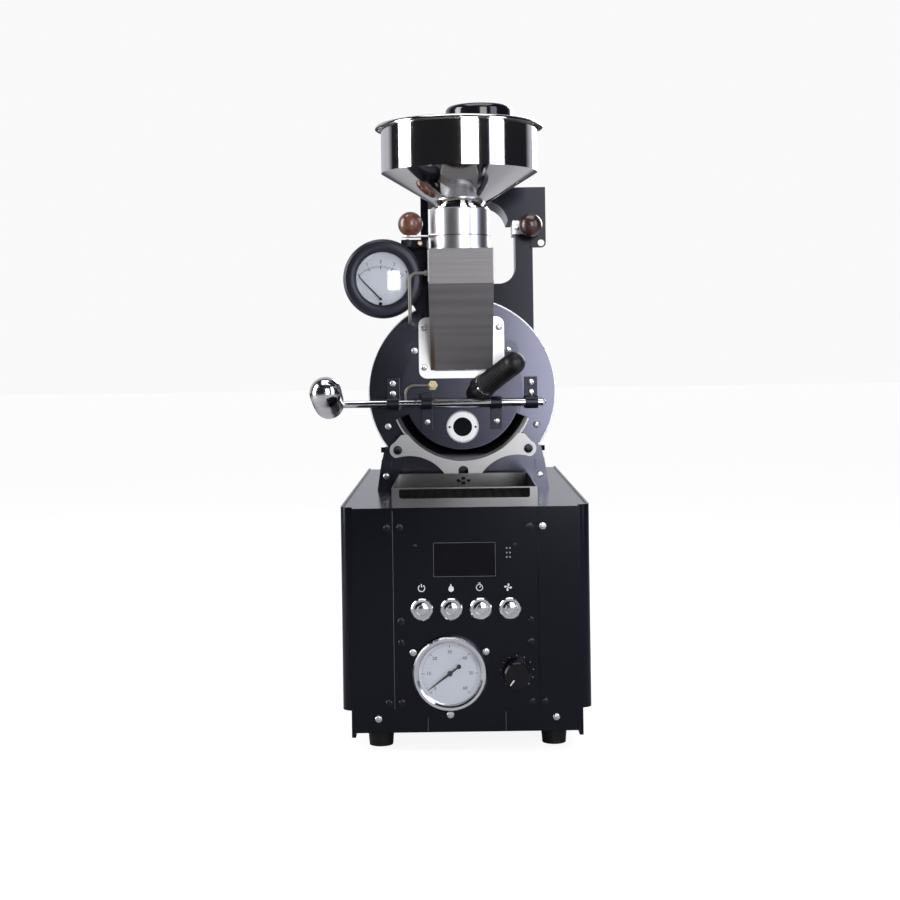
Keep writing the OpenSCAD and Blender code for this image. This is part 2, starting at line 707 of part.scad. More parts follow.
module thermocouple() color(brass) placed() {
    x = -33.2;
    z = drum_z + 7;
    r = 1.5;
    lead_y = cover_y - 8;
    down_x = -64;
    bend_r = 10;
    // Gland with its hexagon, and the probe that reaches into the drum
    translate([x, cover_y - 5, z]) rotate([-90, 0, 0]) cylinder(r = 5.6, h = 5, $fn = 6);
    turned(x, z) polygon([[0, cover_y - 11], [3, cover_y - 11], [3.8, cover_y - 10],
        [3.8, cover_y - 5], [2.5, cover_y - 5], [2.5, cover_y + 6], [r, cover_y + 6],
        [r, cover_y + 42], [0, cover_y + 42]]);
    // Lead: left from the gland, down, and back to the cover plate
    rod_along_x(lead_y, z, r, [down_x + bend_r, x]);
    translate([down_x + bend_r, lead_y, z - bend_r]) rotate([90, 0, 0]) rotate([0, 0, 90])
        elbow(bend_r, r);
    translate([down_x, lead_y, z - bend_r - 4]) cylinder(r = r, h = 4);
    translate([down_x, cover_y, z - bend_r - 4]) rotate([90, 0, 90]) rotate([0, 0, 180])
        elbow(8, r);
}

// ---- Feed ----

// Side view of the feed chute, run on past the flange by e
module chute_side(e) polygon([[chute_y, chute_top - chute_t], [chute_y, chute_top - 37.5],
    [cover_y - 4 + e, drum_z + 23.9 - e * 0.966], [cover_y - 4 + e, drum_z + 75 - e * 0.966],
    [chute_y + chute_d, chute_top - 49.5 + (chute_d - 66) * 0.966],
    [chute_y + chute_d, chute_top - chute_t]]);

module feed_chute() color([0.5, 0.48, 0.46]) placed() {
    difference() {
        union() {
            sideways([-chute_w / 2, chute_w / 2]) chute_side(0);
            slab([-chute_w / 2, chute_w / 2], [chute_y, chute_y + chute_d],
                [chute_top - chute_t - eps, chute_top]);
        }
        sideways([chute_t - chute_w / 2, chute_w / 2 - chute_t])
            offset(delta = -chute_t) chute_side(8);
        translate([0, chute_mid, chute_top - 5]) cylinder(r = valve_bore, h = 10);
    }
}

module chute_flange() color(stainless) placed() difference() {
    translate([0, 0, (flange_z[0] + flange_z[1]) / 2]) upright([cover_y - 4, cover_y])
        rounded(96.6, flange_z[1] - flange_z[0], 9);
    slab([-opening_x, opening_x], [cover_y - 5, cover_y + 1], opening_z);
    screw_holes(front_points, 2.2);
}

module valve_axis(z) translate([0, chute_mid, z]) children();

module valve_lower() color(aluminium) placed() valve_axis(chute_top) rotate_extrude()
    polygon([[valve_bore, 0], [valve_r + 2.3, 0], [valve_r + 2.3, 1.6], [valve_r, 1.6],
        [valve_r, gate_z - chute_top], [valve_bore, gate_z - chute_top]]);

module valve_upper() color(aluminium) placed() difference() {
    valve_axis(gate_z) rotate_extrude()
        polygon([[valve_bore, 0], [valve_r - 0.6, 0], [valve_r - 0.6, 0.8], [valve_r, 0.8],
            [valve_r, valve_top - gate_z - 1], [valve_r - 1, valve_top - gate_z],
            [valve_bore, valve_top - gate_z]]);
    // Slot for the gate
    valve_axis(gate_z - 1) {
        cylinder(r = valve_bore + 1.3, h = gate_gap + 1);
        translate([-50, -valve_bore - 1.3, 0]) cube([50, 2 * valve_bore + 2.6, gate_gap + 1]);
    }
}

module gate_blade() color(stainless) placed() valve_axis(gate_z + 0.25) {
    t = gate_gap - 0.5;
    cylinder(r = valve_bore + 1, h = t);
    translate([-valve_r - 1, -valve_bore - 1, 0]) cube([valve_r + 1, 2 * valve_bore + 2, t]);
    translate([-54, -9, 0]) cube([30, 18, t]);
    translate([-54, 0, 0]) cylinder(r = 9, h = t);
}

// Half outline of a wooden ball with a small flat at its foot, which lies at 0
module ball_outline() intersection() {
    translate([0, ball_d / 2 - 0.6]) circle(ball_d / 2);
    square(2 * ball_d);
}

module gate_ball() color(wood) placed() valve_axis(gate_z + gate_gap - 0.25)
    translate([-54.2, 0, 0]) rotate_extrude() ball_outline();

module hopper() color(stainless) placed() valve_axis(0) {
    r = hopper_d / 2;
    rotate_extrude($fn = 128) {
        polygon([[neck_r - hopper_t, valve_top - 9], [neck_r, valve_top - 9], [neck_r, neck_z],
            [r, cone_top], [r, rim_z], [r - hopper_t, rim_z],
            [r - hopper_t, cone_top + 0.7], [neck_r - hopper_t, neck_z + 0.7]]);
        // Collar that rests on the valve
        polygon([[neck_r - eps, valve_top], [valve_r - 1.5, valve_top],
            [valve_r - 1.5, valve_top + 1.5], [neck_r - eps, valve_top + 1.5]]);
        // Rolled rim
        intersection() {
            translate([r - hopper_t / 2 + rim_r, rim_z]) difference() {
                circle(rim_r + hopper_t / 2, $fn = 32);
                circle(rim_r - hopper_t / 2, $fn = 32);
            }
            translate([0, rim_z - eps]) square([2 * r, 10]);
        }
    }
}

// ---- Exhaust ----

// Front view of the exhaust duct, drawn in by i
module duct_outline(i) {
    bend_r = 20;
    polygon([[i - 30, drum_z], [i - 30, hood_z - i],
        for (a = [0 : 10 : 90]) [duct_x[0] - bend_r + (bend_r + i) * sin(a),
            hood_z + bend_r - (bend_r + i) * cos(a)],
        [duct_x[0] + i, duct_z + i], [duct_x[1] - i, duct_z + i], [duct_x[1] - i, drum_z]]);
}

module exhaust_duct() color(black_metal) placed() difference() {
    upright(duct_y) duct_outline(0);
    upright([duct_y[0] + sheet, duct_y[1] - sheet]) duct_outline(sheet);
    rod_along_y(0, drum_z, shell_r, [duct_y[0] - 1, duct_y[1] + 1]);
}

module damper_body() color(aluminium) placed() difference() {
    slab([duct_x[0] - 3, duct_x[1] + 2], [duct_y[0] - 1, duct_y[1] + 1], [duct_z, housing_z[0]]);
    slab([duct_x[0] + 2, duct_x[1] - 2], [duct_y[0] + 3, duct_y[1] - 3],
        [duct_z - 1, housing_z[0] + 1]);
    slab([duct_x[0], duct_x[1]], [duct_y[0] - 2, duct_y[1] - 2], [duct_z + 6, duct_z + 8]);
}

module damper_slide() color(stainless) placed() {
    rod_end = duct_y[0] - 28;
    slab([duct_x[0] + 0.3, duct_x[1] - 3], [rod_end + 16, duct_y[1] - 2.3],
        [duct_z + 6.3, duct_z + 7.7]);
    rod_along_y(duct_x[1] - 4, duct_z + 7, 3, [rod_end, rod_end + 19]);
}

module damper_ball() color([0.35, 0.22, 0.18]) placed()
    translate([duct_x[1] - 4, duct_y[0] - 28, duct_z + 7])
        rotate([90, 0, 0]) rotate_extrude() ball_outline();

// Front view of the exhaust housing, drawn in by i
module housing_outline(i) difference() {
    translate([housing_x[0] + i, housing_z[0] + i])
        square([housing_w - 2 * i, housing_z[1] - housing_z[0] - 2 * i]);
    translate([arch_x, arch_z]) circle(arch_r + i);
    translate([housing_x[0] - 1, 0]) square([arch_x - housing_x[0] + 1, step_z + i]);
}

// Front view of the ear that hangs under the housing's right end
module ear_outline() {
    ear_r = 5.6;
    ear_h = housing_z[0] - 27;
    x = [housing_x[1] - 18, housing_x[1] - ear_r];
    difference() {
        union() {
            translate([x[0], ear_h - ear_r]) square([x[1] - x[0], 36]);
            translate([x[1], ear_h]) circle(ear_r);
            translate([x[1], ear_h]) square([ear_r, 30]);
        }
        translate([x[1], ear_h]) circle(ear_r - 1.6);
    }
}

module exhaust_housing() color(black_metal) placed() {
    plate = [housing_y[0] - 3, housing_y[0]];
    difference() {
        upright(housing_y) housing_outline(0);
        upright([housing_y[0] + sheet, housing_y[1] - sheet]) housing_outline(sheet);
        // Inlet over the damper, outlet under the pipe
        slab([duct_x[0] + 2, duct_x[1] - 2], [duct_y[0] + 3, duct_y[1] - 3],
            [housing_z[0] - 1, housing_z[0] + 10]);
        translate([pipe_x, pipe_y, housing_z[1] - 5]) cylinder(r = pipe_r - 4, h = 10);
    }
    upright(plate) {
        housing_outline(0);
        ear_outline();
    }
    // Leg on the drum housing
    difference() {
        union() {
            slab([housing_x[0], housing_x[0] + 3], [plate[0], plate[1] + 30],
                [drum_z + 60, housing_z[1]]);
            slab([housing_x[0], housing_x[0] + 9], plate, [drum_z + 60, housing_z[1]]);
        }
        rod_along_y(0, drum_z, shell_r, [0, body_d]);
    }
}

module exhaust_pipe() color(black_metal) placed() translate([pipe_x, pipe_y, housing_z[1]]) {
    t = 1.5;
    lip = 7;
    difference() {
        union() {
            rotate_extrude() {
                polygon([[pipe_r - t, 0], [pipe_r, 0], [pipe_r, pipe_h - lip],
                    [pipe_r - t, pipe_h - lip]]);
                intersection() {
                    translate([pipe_r - lip, pipe_h - lip]) difference() {
                        circle(lip, $fn = 48);
                        circle(lip - t, $fn = 48);
                    }
                    translate([pipe_r - lip, pipe_h - lip]) square(lip);
                }
            }
            // Struts that carry the fan's motor
            for (i = [0 : 2]) rotate([0, 0, 30 + 120 * i]) translate([12, -1.5, 50])
                cube([pipe_r - 12.5, 3, 8]);
            translate([0, 0, 46]) cylinder(r = 14, h = 26);
        }
        translate([0, 0, 40]) cylinder(r = 2 + run_gap, h = 14);
    }
}

module exhaust_fan() color(steel) placed() translate([pipe_x, pipe_y, housing_z[1] + 22]) {
    cylinder(r = 2, h = 31);
    cylinder(r = 12, h = 18);
    intersection() {
        cylinder(r = pipe_r - 3, h = 18);
        for (i = [0 : 5]) rotate([0, 0, i * 60])
            translate([8, 0, 9]) rotate([40, 0, 0]) translate([0, -11, -0.75]) cube([40, 22, 1.5]);
    }
}

// ---- Draught gauge ----

module draft_gauge_case() color(black_plastic) placed() turned(draft_x, draft_z)
    polygon([[0, draft_y + 6], [28.7, draft_y + 6], [28.7, draft_y + 1.2], [31, draft_y],
        [draft_r - 3, draft_y], [draft_r, draft_y + 3.5], [draft_r, draft_y + 13],
        [34, draft_y + 14], [34, draft_y + 38], [30, draft_y + 40], [0, draft_y + 40]]);

module draft_needle() color(black_plastic) placed() translate([draft_x - 2.7, 0, needle_pivot_z]) {
    upright([draft_y + 3.6, draft_y + 4.4]) rotate(133.5) needle_outline(33, 2.5, 0.8);
    rod_along_y(0, 0, 1.6, [draft_y + 3.2, draft_y + 5.8]);
}

module gauge_bracket() color(black_metal) placed() {
    y = [draft_y + 40, draft_y + 44];
    side_x = -chute_w / 2;
    upright(y) {
        translate([draft_x, draft_z]) circle(30);
        translate([draft_x, draft_z - 25]) square([side_x - draft_x, 50]);
        polygon([[-62, chute_top + 11], [-36, chute_top + 11], [side_x, chute_top],
            [side_x, chute_top - 72], [-48, draft_z - 36], [-60, draft_z - 16]]);
    }
    // Tab on the chute's side
    slab([side_x - 3, side_x], [y[0] - 24, y[1]], [chute_top - 34, chute_top - 4]);
    // Block under the gate
    slab([-64, -36], [y[0] - 26, y[1]], [chute_top + 2.5, chute_top + 11]);
    // Draught tube from the chute, past the gauge's front, to the front plate
    r = 1.6;
    bend_r = 8;
    tube = [-55, draft_y - 3, draft_z + 5];
    low_z = draft_z - 48;
    rod_along_x(tube[1], tube[2], r, [tube[0] + bend_r, side_x]);
    translate([tube[0] + bend_r, tube[1], tube[2] - bend_r]) rotate([90, 0, 0])
        rotate([0, 0, 90]) elbow(bend_r, r);
    translate([tube[0], tube[1], low_z + bend_r])
        cylinder(r = r, h = tube[2] - low_z - 2 * bend_r);
    translate([tube[0], tube[1] + bend_r, low_z + bend_r]) rotate([90, 0, 90])
        rotate([0, 0, 180]) elbow(bend_r, r);
    rod_along_y(tube[0], low_z, r, [tube[1] + bend_r, face_y]);
}

chassis_tray();
left_side_panel();
right_side_panel();
control_panel();
top_deck();
back_panel();
feet();
display_window();
power_button();
flame_button();
timer_button();
fan_button();
button_bezels();
pressure_gauge_case();
pressure_needle();
gauge_glasses();
heat_knob();
gas_burner();
screws();
front_plate();
cover_plate();
drum_housing();
drum();
drum_shaft();
shaft_bearing();
drum_motor();
discharge_door();
sight_ring();
sight_glass();
door_arms();
pivot_rod();
lever_handle();
bearing_blocks();
discharge_funnel();
cooling_tray();
tray_floor();
cooling_fan();
cooling_fan_housing();
tryer_sleeve();
tryer_collar();
tryer_scoop();
tryer_handle();
thermocouple();
feed_chute();
chute_flange();
valve_lower();
valve_upper();
gate_blade();
gate_ball();
hopper();
exhaust_duct();
damper_body();
damper_slide();
damper_ball();
exhaust_housing();
exhaust_pipe();
exhaust_fan();
draft_gauge_case();
draft_needle();
gauge_bracket();
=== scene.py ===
import math

import bmesh
import bpy
from mathutils import Matrix, Vector


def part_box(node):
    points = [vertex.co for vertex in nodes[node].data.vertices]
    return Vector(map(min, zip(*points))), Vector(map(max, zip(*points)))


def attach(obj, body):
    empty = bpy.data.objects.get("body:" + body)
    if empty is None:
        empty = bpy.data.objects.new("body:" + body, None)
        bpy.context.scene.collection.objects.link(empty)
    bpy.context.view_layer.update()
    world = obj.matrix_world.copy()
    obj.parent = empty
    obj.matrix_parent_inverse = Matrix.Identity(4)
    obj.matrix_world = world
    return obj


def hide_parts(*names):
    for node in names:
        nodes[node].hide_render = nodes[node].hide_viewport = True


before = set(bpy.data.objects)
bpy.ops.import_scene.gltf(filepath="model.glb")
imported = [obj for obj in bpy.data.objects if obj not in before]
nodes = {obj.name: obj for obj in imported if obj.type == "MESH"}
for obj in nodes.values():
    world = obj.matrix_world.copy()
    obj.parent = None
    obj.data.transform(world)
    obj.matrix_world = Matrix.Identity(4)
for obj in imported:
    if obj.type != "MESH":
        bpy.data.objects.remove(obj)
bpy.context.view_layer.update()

# ---- Cabinet ----
# Folded sheet steel, powder coated in a glossy blue-black: a chassis on rubber feet, two side
# panels that wrap round the front corners, a deck, and a back panel. Screws hold the panels.

panel_lo, panel_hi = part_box("control_panel")
mid_x = (panel_lo.x + panel_hi.x) / 2
front_y = panel_lo.y


def place(x, y, z):
    """A point given in millimetres from the middle of the control panel's face, above the table."""
    return Vector((mid_x + x / 1000, front_y + y / 1000, z / 1000))


def unevenness_group():
    """Soft cloudy changes and fine grain for a finish, by object position."""
    tree = bpy.data.node_groups.new("unevenness", "ShaderNodeTree")
    io = tree.interface
    io.new_socket("Position", in_out="INPUT", socket_type="NodeSocketVector")
    for name, value in (("Cloud Scale", 12), ("Grain Scale", 600), ("Middle", 0.4), ("Spread", 0.1)):
        io.new_socket(name, in_out="INPUT", socket_type="NodeSocketFloat").default_value = value
    for name in ("Roughness", "Cloud", "Grain"):
        io.new_socket(name, in_out="OUTPUT", socket_type="NodeSocketFloat")
    n, link = tree.nodes, tree.links.new
    inside, outside = n.new("NodeGroupInput"), n.new("NodeGroupOutput")
    cloud, grain = n.new("ShaderNodeTexNoise"), n.new("ShaderNodeTexNoise")
    cloud.inputs["Detail"].default_value = 4
    grain.inputs["Detail"].default_value = 2
    both, low, spread = n.new("ShaderNodeMath"), n.new("ShaderNodeMath"), n.new("ShaderNodeMath")
    both.operation, low.operation, spread.operation = "ADD", "SUBTRACT", "MULTIPLY_ADD"
    low.inputs[1].default_value = 1.0
    link(inside.outputs["Position"], cloud.inputs["Vector"])
    link(inside.outputs["Position"], grain.inputs["Vector"])
    link(inside.outputs["Cloud Scale"], cloud.inputs["Scale"])
    link(inside.outputs["Grain Scale"], grain.inputs["Scale"])
    link(cloud.outputs["Fac"], both.inputs[0])
    link(grain.outputs["Fac"], both.inputs[1])
    link(both.outputs[0], low.inputs[0])
    link(low.outputs[0], spread.inputs[0])
    link(inside.outputs["Spread"], spread.inputs[1])
    link(inside.outputs["Middle"], spread.inputs[2])
    link(spread.outputs[0], outside.inputs["Roughness"])
    link(cloud.outputs["Fac"], outside.inputs["Cloud"])
    link(grain.outputs["Fac"], outside.inputs["Grain"])
    return tree


unevenness = unevenness_group()


def finish(name, dark, light, metallic, roughness, spread=0.1, clouds=12, grain=600, bump=0.0,
           stretch=(1, 1, 1), coat=0.0, sheen=0.5, tint=(1, 1, 1)):
    """A finish whose colour wanders between dark and light. stretch draws its grain out, sheen is
    how strongly a painted surface reflects, and tint colours what it reflects."""
    material = bpy.data.materials.new(name)
    material.use_nodes = True
    n, link = material.node_tree.nodes, material.node_tree.links.new
    shader = n["Principled BSDF"]
    where, mapping, uneven = (n.new("ShaderNodeTexCoord"), n.new("ShaderNodeMapping"),
                              n.new("ShaderNodeGroup"))
    uneven.node_tree = unevenness
    mapping.inputs["Scale"].default_value = stretch
    for socket, value in (("Cloud Scale", clouds), ("Grain Scale", grain),
                          ("Middle", roughness), ("Spread", spread)):
        uneven.inputs[socket].default_value = value
    link(where.outputs["Object"], mapping.inputs["Vector"])
    link(mapping.outputs["Vector"], uneven.inputs["Position"])
    link(uneven.outputs["Roughness"], shader.inputs["Roughness"])
    colour = n.new("ShaderNodeMix")
    colour.data_type = "RGBA"
    colour.inputs["A"].default_value = (*dark, 1)
    colour.inputs["B"].default_value = (*light, 1)
    link(uneven.outputs["Cloud"], colour.inputs["Factor"])
    link(colour.outputs["Result"], shader.inputs["Base Color"])
    shader.inputs["Metallic"].default_value = metallic
    shader.inputs["Coat Weight"].default_value = coat
    shader.inputs["Coat Roughness"].default_value = 0.08
    shader.inputs["Specular IOR Level"].default_value = sheen
    shader.inputs["Specular Tint"].default_value = (*tint, 1)
    if bump:
        relief = n.new("ShaderNodeBump")
        relief.inputs["Strength"].default_value = bump
        relief.inputs["Distance"].default_value = 0.0002
        link(uneven.outputs["Grain"], relief.inputs["Height"])
        link(relief.outputs["Normal"], shader.inputs["Normal"])
    return material


def coat_nodes(material, *names):
    """The CAD nodes of these names get this finish."""
    for name in names:
        nodes[name].data.materials.clear()
        nodes[name].data.materials.append(material)


cabinet_black = finish("cabinet_black", (0.002, 0.002, 0.004), (0.004, 0.004, 0.008), 0.0, 0.18,
                       spread=0.04, grain=900, bump=0.02, sheen=0.21, tint=(0.84, 0.86, 1.0))
rubber_black = finish("rubber_black", (0.004, 0.004, 0.005), (0.009, 0.009, 0.010), 0.0, 0.6,
                      grain=1500, bump=0.3, sheen=0.3)
coat_nodes(cabinet_black, "chassis_tray", "left_side_panel", "right_side_panel",
           "control_panel", "top_deck", "back_panel")
coat_nodes(rubber_black, "feet")


def add_piece(name, mesh, body):
    """A piece of this mesh, which rides on a body."""
    piece = bpy.data.objects.new(name, mesh)
    bpy.context.scene.collection.objects.link(piece)
    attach(piece, body)
    return piece


def solid(name, points, faces, material, body, slot):
    """A piece made of points in the frame, smooth except at its sharper edges."""
    smooth_below = math.radians(30)
    mesh = bpy.data.meshes.new(name)
    mesh.from_pydata([tuple(p) for p in points], [], faces)
    mesh.materials.append(material)
    work = bmesh.new()
    work.from_mesh(mesh)
    bmesh.ops.remove_doubles(work, verts=work.verts, dist=1e-6)
    bmesh.ops.recalc_face_normals(work, faces=work.faces)
    for face in work.faces:
        face.smooth = True
    for edge in work.edges:
        edge.smooth = edge.is_manifold and edge.calc_face_angle(0) < smooth_below
    work.to_mesh(mesh)
    work.free()
    add_piece(name, mesh, body)


def prism(outlines, low, high, to_frame):
    """Points and faces of flat outlines, each [(x, y)], given a thickness from low to high."""
    points, faces = [], []
    for outline in outlines:
        first, m = len(points), len(outline)
        points += [to_frame(x, y, low) for x, y in outline]
        points += [to_frame(x, y, high) for x, y in outline]
        faces += [tuple(range(first, first + m)), tuple(range(first + 2 * m - 1, first + m - 1, -1))]
        faces += [(first + i, first + (i + 1) % m, first + m + (i + 1) % m, first + m + i)
                  for i in range(m)]
    return points, faces


def bar_outline(x0, y0, x1, y1, width):
    """The outline of a straight stroke."""
    length = math.hypot(x1 - x0, y1 - y0)
    u, v = (y0 - y1) / length * width / 2, (x1 - x0) / length * width / 2
    return [(x0 + u, y0 + v), (x1 + u, y1 + v), (x1 - u, y1 - v), (x0 - u, y0 - v)]


def on_panel(x0, z0, y0=0):
    """Turns (x, y, height) into a place on the panel round x0, z0, with the height towards -Y."""
    return lambda x, y, h: place(x0 + x, y0 - h, z0 + y)


# A painted highlight, a thin grey strip along the panel's cut left edge, and seams in the chassis
# strip under it
edge_x, edge_low, edge_high, seam_proud = -72.6, 42, 240, 0.06
# Grey for printed and seam lines, and for the painted highlight on the panel's edge
lines_and_highlight_grey = finish("lines_and_highlight_grey", (0.07, 0.07, 0.08), (0.13, 0.13, 0.14), 0.0, 0.4)
solid("panel_edge", *prism([bar_outline(edge_x, edge_low, edge_x, edge_high, 0.4)], 0.0, seam_proud,
                           on_panel(0, 0)), lines_and_highlight_grey, "root", "black_metal")
chassis_seams = [bar_outline(-39.6, 18, -39.6, 33, 0.35), bar_outline(38.5, 18, 38.5, 38, 0.35)]
solid("chassis_seams", *prism(chassis_seams, 0.0, seam_proud, on_panel(0, 0, 2)), lines_and_highlight_grey,
      "root", "black_metal")

# ---- Screws ----
# Pan head screws with a cross recess: black ones in the control panel, bright ones round the
# gas gauge, on the chassis and on the drum front. One tree sets a head on each place.

screw_steel = finish("screw_steel", (0.42, 0.42, 0.44), (0.66, 0.66, 0.68), 1.0, 0.26,
                     grain=2500, bump=0.1)
screw_black = finish("screw_black", (0.010, 0.010, 0.014), (0.022, 0.022, 0.030), 0.6, 0.25)


def screw_head():
    """A head of radius 1 on the axis -Y, with a cross cut into its dome."""
    arm, reach, top, depth, taper, sides = 0.13, 0.52, 0.62, 0.34, 0.7, 12
    rings = [(1.0, 0.0), (1.0, 0.24), (0.93, 0.42), (0.78, 0.56)]
    cross = []
    for quarter in range(4):
        c, s = math.cos(quarter * math.pi / 2), math.sin(quarter * math.pi / 2)
        cross += [(c * x - s * y, s * x + c * y) for x, y in ((reach, -arm), (reach, arm), (arm, arm))]
    work = bmesh.new()
    loops = []
    for r, h in rings:
        loops.append([work.verts.new((r * math.cos(a), -h, r * math.sin(a)))
                      for a in (2 * math.pi * k / sides - math.pi / sides for k in range(sides))])
    loops.append([work.verts.new((x, -top, z)) for x, z in cross])
    loops.append([work.verts.new((x * taper, -top + depth, z * taper)) for x, z in cross])
    for lower, upper in zip(loops, loops[1:]):
        for k in range(sides):
            work.faces.new((lower[k], lower[(k + 1) % sides], upper[(k + 1) % sides], upper[k]))
    work.faces.new(loops[-1])
    work.faces.new(loops[0])
    bmesh.ops.recalc_face_normals(work, faces=work.faces)
    mesh = bpy.data.meshes.new("screw_head")
    work.to_mesh(mesh)
    work.free()
    return bpy.data.objects.new("screw_head", mesh)


def set_on_points_tree():
    """Sets a copy of an object on every point, turned at random about Y and sized."""
    tree = bpy.data.node_groups.new("set_on_points", "GeometryNodeTree")
    io = tree.interface
    for name, kind in (("Places", "Geometry"), ("Shape", "Object"), ("Size", "Float"),
                       ("Turn", "Float"), ("Finish", "Material")):
        io.new_socket(name, in_out="INPUT", socket_type="NodeSocket" + kind)
    io.new_socket("Set Pieces", in_out="OUTPUT", socket_type="NodeSocketGeometry")
    n, link = tree.nodes, tree.links.new
    inside, outside = n.new("NodeGroupInput"), n.new("NodeGroupOutput")
    shape, turn, spin = (n.new("GeometryNodeObjectInfo"), n.new("FunctionNodeRandomValue"),
                         n.new("ShaderNodeCombineXYZ"))
    turn.inputs["Seed"].default_value = 4
    on_points, real, paint = (n.new("GeometryNodeInstanceOnPoints"),
                              n.new("GeometryNodeRealizeInstances"),
                              n.new("GeometryNodeSetMaterial"))
    link(inside.outputs["Shape"], shape.inputs["Object"])
    link(inside.outputs["Turn"], turn.inputs[3])
    link(turn.outputs[1], spin.inputs["Y"])
    link(inside.outputs["Places"], on_points.inputs["Points"])
    link(shape.outputs["Geometry"], on_points.inputs["Instance"])
    link(spin.outputs["Vector"], on_points.inputs["Rotation"])
    link(inside.outputs["Size"], on_points.inputs["Scale"])
    link(on_points.outputs["Instances"], real.inputs["Geometry"])
    link(real.outputs["Geometry"], paint.inputs["Geometry"])
    link(inside.outputs["Finish"], paint.inputs["Material"])
    link(paint.outputs["Geometry"], outside.inputs["Set Pieces"])
    return tree


def plain_mesh(maker):
    """The mesh that an object's modifier or text makes. The object itself goes."""
    bpy.context.view_layer.update()
    mesh = bpy.data.meshes.new_from_object(maker.evaluated_get(
        bpy.context.evaluated_depsgraph_get()))
    bpy.data.objects.remove(maker)
    return mesh


def grown(name, tree, start_mesh, inputs, body):
    """A piece of the plain mesh that a tree makes of a start mesh."""
    seed = bpy.data.objects.new(name + "_start", start_mesh)
    bpy.context.scene.collection.objects.link(seed)
    modifier = seed.modifiers.new("tree", "NODES")
    modifier.node_group = tree
    for item in tree.interface.items_tree:
        if item.in_out == "INPUT" and item.name in inputs:
            modifier[item.identifier] = inputs[item.name]
    mesh = plain_mesh(seed)
    if mesh.materials[0] is None:
        mesh.materials.pop(index=0)
    return add_piece(name, mesh, body)


set_on_points, widest_turn = set_on_points_tree(), 3.0


def set_out(name, shape, size, points, material, body):
    """A copy of a shape, such as a screw's head, on each point, every one turned its own way."""
    places = bpy.data.meshes.new("places")
    places.from_pydata([tuple(p) for p in points], [], [])
    return grown(name, set_on_points, places, {"Shape": shape, "Size": size, "Turn": widest_turn,
                                               "Finish": material}, body)


def way(degrees):
    """A direction in the panel's plane, counted from the right and upwards."""
    return Vector((math.cos(math.radians(degrees)), 0, math.sin(math.radians(degrees))))


head = screw_head()
pan_size, bolt_size, rivet_size = 0.0038, 0.0051, 0.002
panel_screws = [place(s * x, 0, z) for s in (-1, 1) for x in (65, 78) for z in (48.4, 223.5)
                if s * x < 78 or z < 100]
panel_screws += [place(s * 65, 0, z) for s in (-1, 1) for z in (108.3, 129.9)]
# Three hold the gas gauge. The lowest of them sits on the chassis, which lies 2 mm further back
gauge_x, gauge_z, gauge_ring = -17, 77.5, 0.042
bright_screws = [place(gauge_x, 0, gauge_z) + gauge_ring * way(degrees)
                 + Vector((0, 0.002 if degrees > 180 else 0, 0)) for degrees in (30, 150, 270)]
bright_screws += [place(-89, 2, 32.1), place(89, 2, 32.1), place(78, 0, 223.5)]
front_screws = [(84, 210, 315.2), (87, 207, 259), (53, 206, 400.6), (78, 203, 352.3),
                (78, 203, 363.8), (42.5, 202, 426.4)]
bright_screws += [place(s * x, y, z) for s in (-1, 1) for x, y, z in front_screws]
bright_screws += [place(-42.5, 202, 381.7)]
set_out("panel_screws", head, pan_size, panel_screws, screw_black, "root")
bright = set_out("bright_screws", head, pan_size, bright_screws, screw_steel, "root")
set_out("funnel_bolts", head, bolt_size, [place(s * 73.3, 188.5, 289.5) for s in (-1, 1)],
        screw_black, "root")
set_out("window_rivets", head, rivet_size, [place(s * 50, 0, 205) for s in (-1, 1)],
        screw_black, "root")
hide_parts("screws")

# ---- Display and push buttons ----
# A dark acrylic window with a thin printed frame, small lamps beside it, and four domed steel
# push buttons in steel bezels. Plain pictograms above them are printed in white.

window_dark = finish("window_dark", (0.003, 0.003, 0.005), (0.005, 0.005, 0.008), 0.0, 0.1,
                     spread=0.03, sheen=0.1)
button_steel = finish("button_steel", (0.50, 0.50, 0.52), (0.72, 0.72, 0.74), 1.0, 0.13,
                      grain=1800, bump=0.02)
print_white = finish("print_white", (0.72, 0.72, 0.74), (0.84, 0.84, 0.86), 0.0, 0.5)
lamp_grey = finish("lamp_grey", (0.22, 0.24, 0.27), (0.34, 0.38, 0.42), 0.0, 0.3)
coat_nodes(window_dark, "display_window")
coat_nodes(button_steel, "button_bezels", "power_button", "flame_button", "timer_button",
           "fan_button")
buttons_z, pictograms_z = 141.4, 162.6
window_x, window_z, window_w, window_h, window_proud = -1, 191, 63, 35, 1.5


def lathe(profile, steps, to_frame, closed=False):
    """Points and faces of a turned shape: profile is [(radius, along)], from axis to axis, or
    closed on itself for a ring."""
    points, faces = [], []
    for k in range(steps):
        a = 2 * math.pi * k / steps
        points += [to_frame(r * math.cos(a), r * math.sin(a), h) for r, h in profile]
    m = len(profile)
    for k in range(steps):
        for i in range(m - 1):
            a, b = k * m + i, (k + 1) % steps * m + i
            if profile[i][0] == 0:
                faces.append((a, a + 1, b + 1))
            elif profile[i + 1][0] == 0:
                faces.append((a, a + 1, b))
            else:
                faces.append((a, a + 1, b + 1, b))
        if closed:
            a, b = k * m, (k + 1) % steps * m
            faces.append((a + m - 1, a, b, b + m - 1))
    return points, faces


def ring_outline(r, start=0, end=360, steps=48):
    """The outline of a circle, or points on a part of it, in degrees."""
    return [(r * math.cos(math.radians(start + (end - start) * k / steps)),
             r * math.sin(math.radians(start + (end - start) * k / steps)))
            for k in range(steps + (end - start < 360))]


def band(r, width, start, end):
    """The outline of a part of a ring."""
    steps = 32
    return ring_outline(r + width / 2, start, end, steps) + \
        ring_outline(r - width / 2, start, end, steps)[::-1]


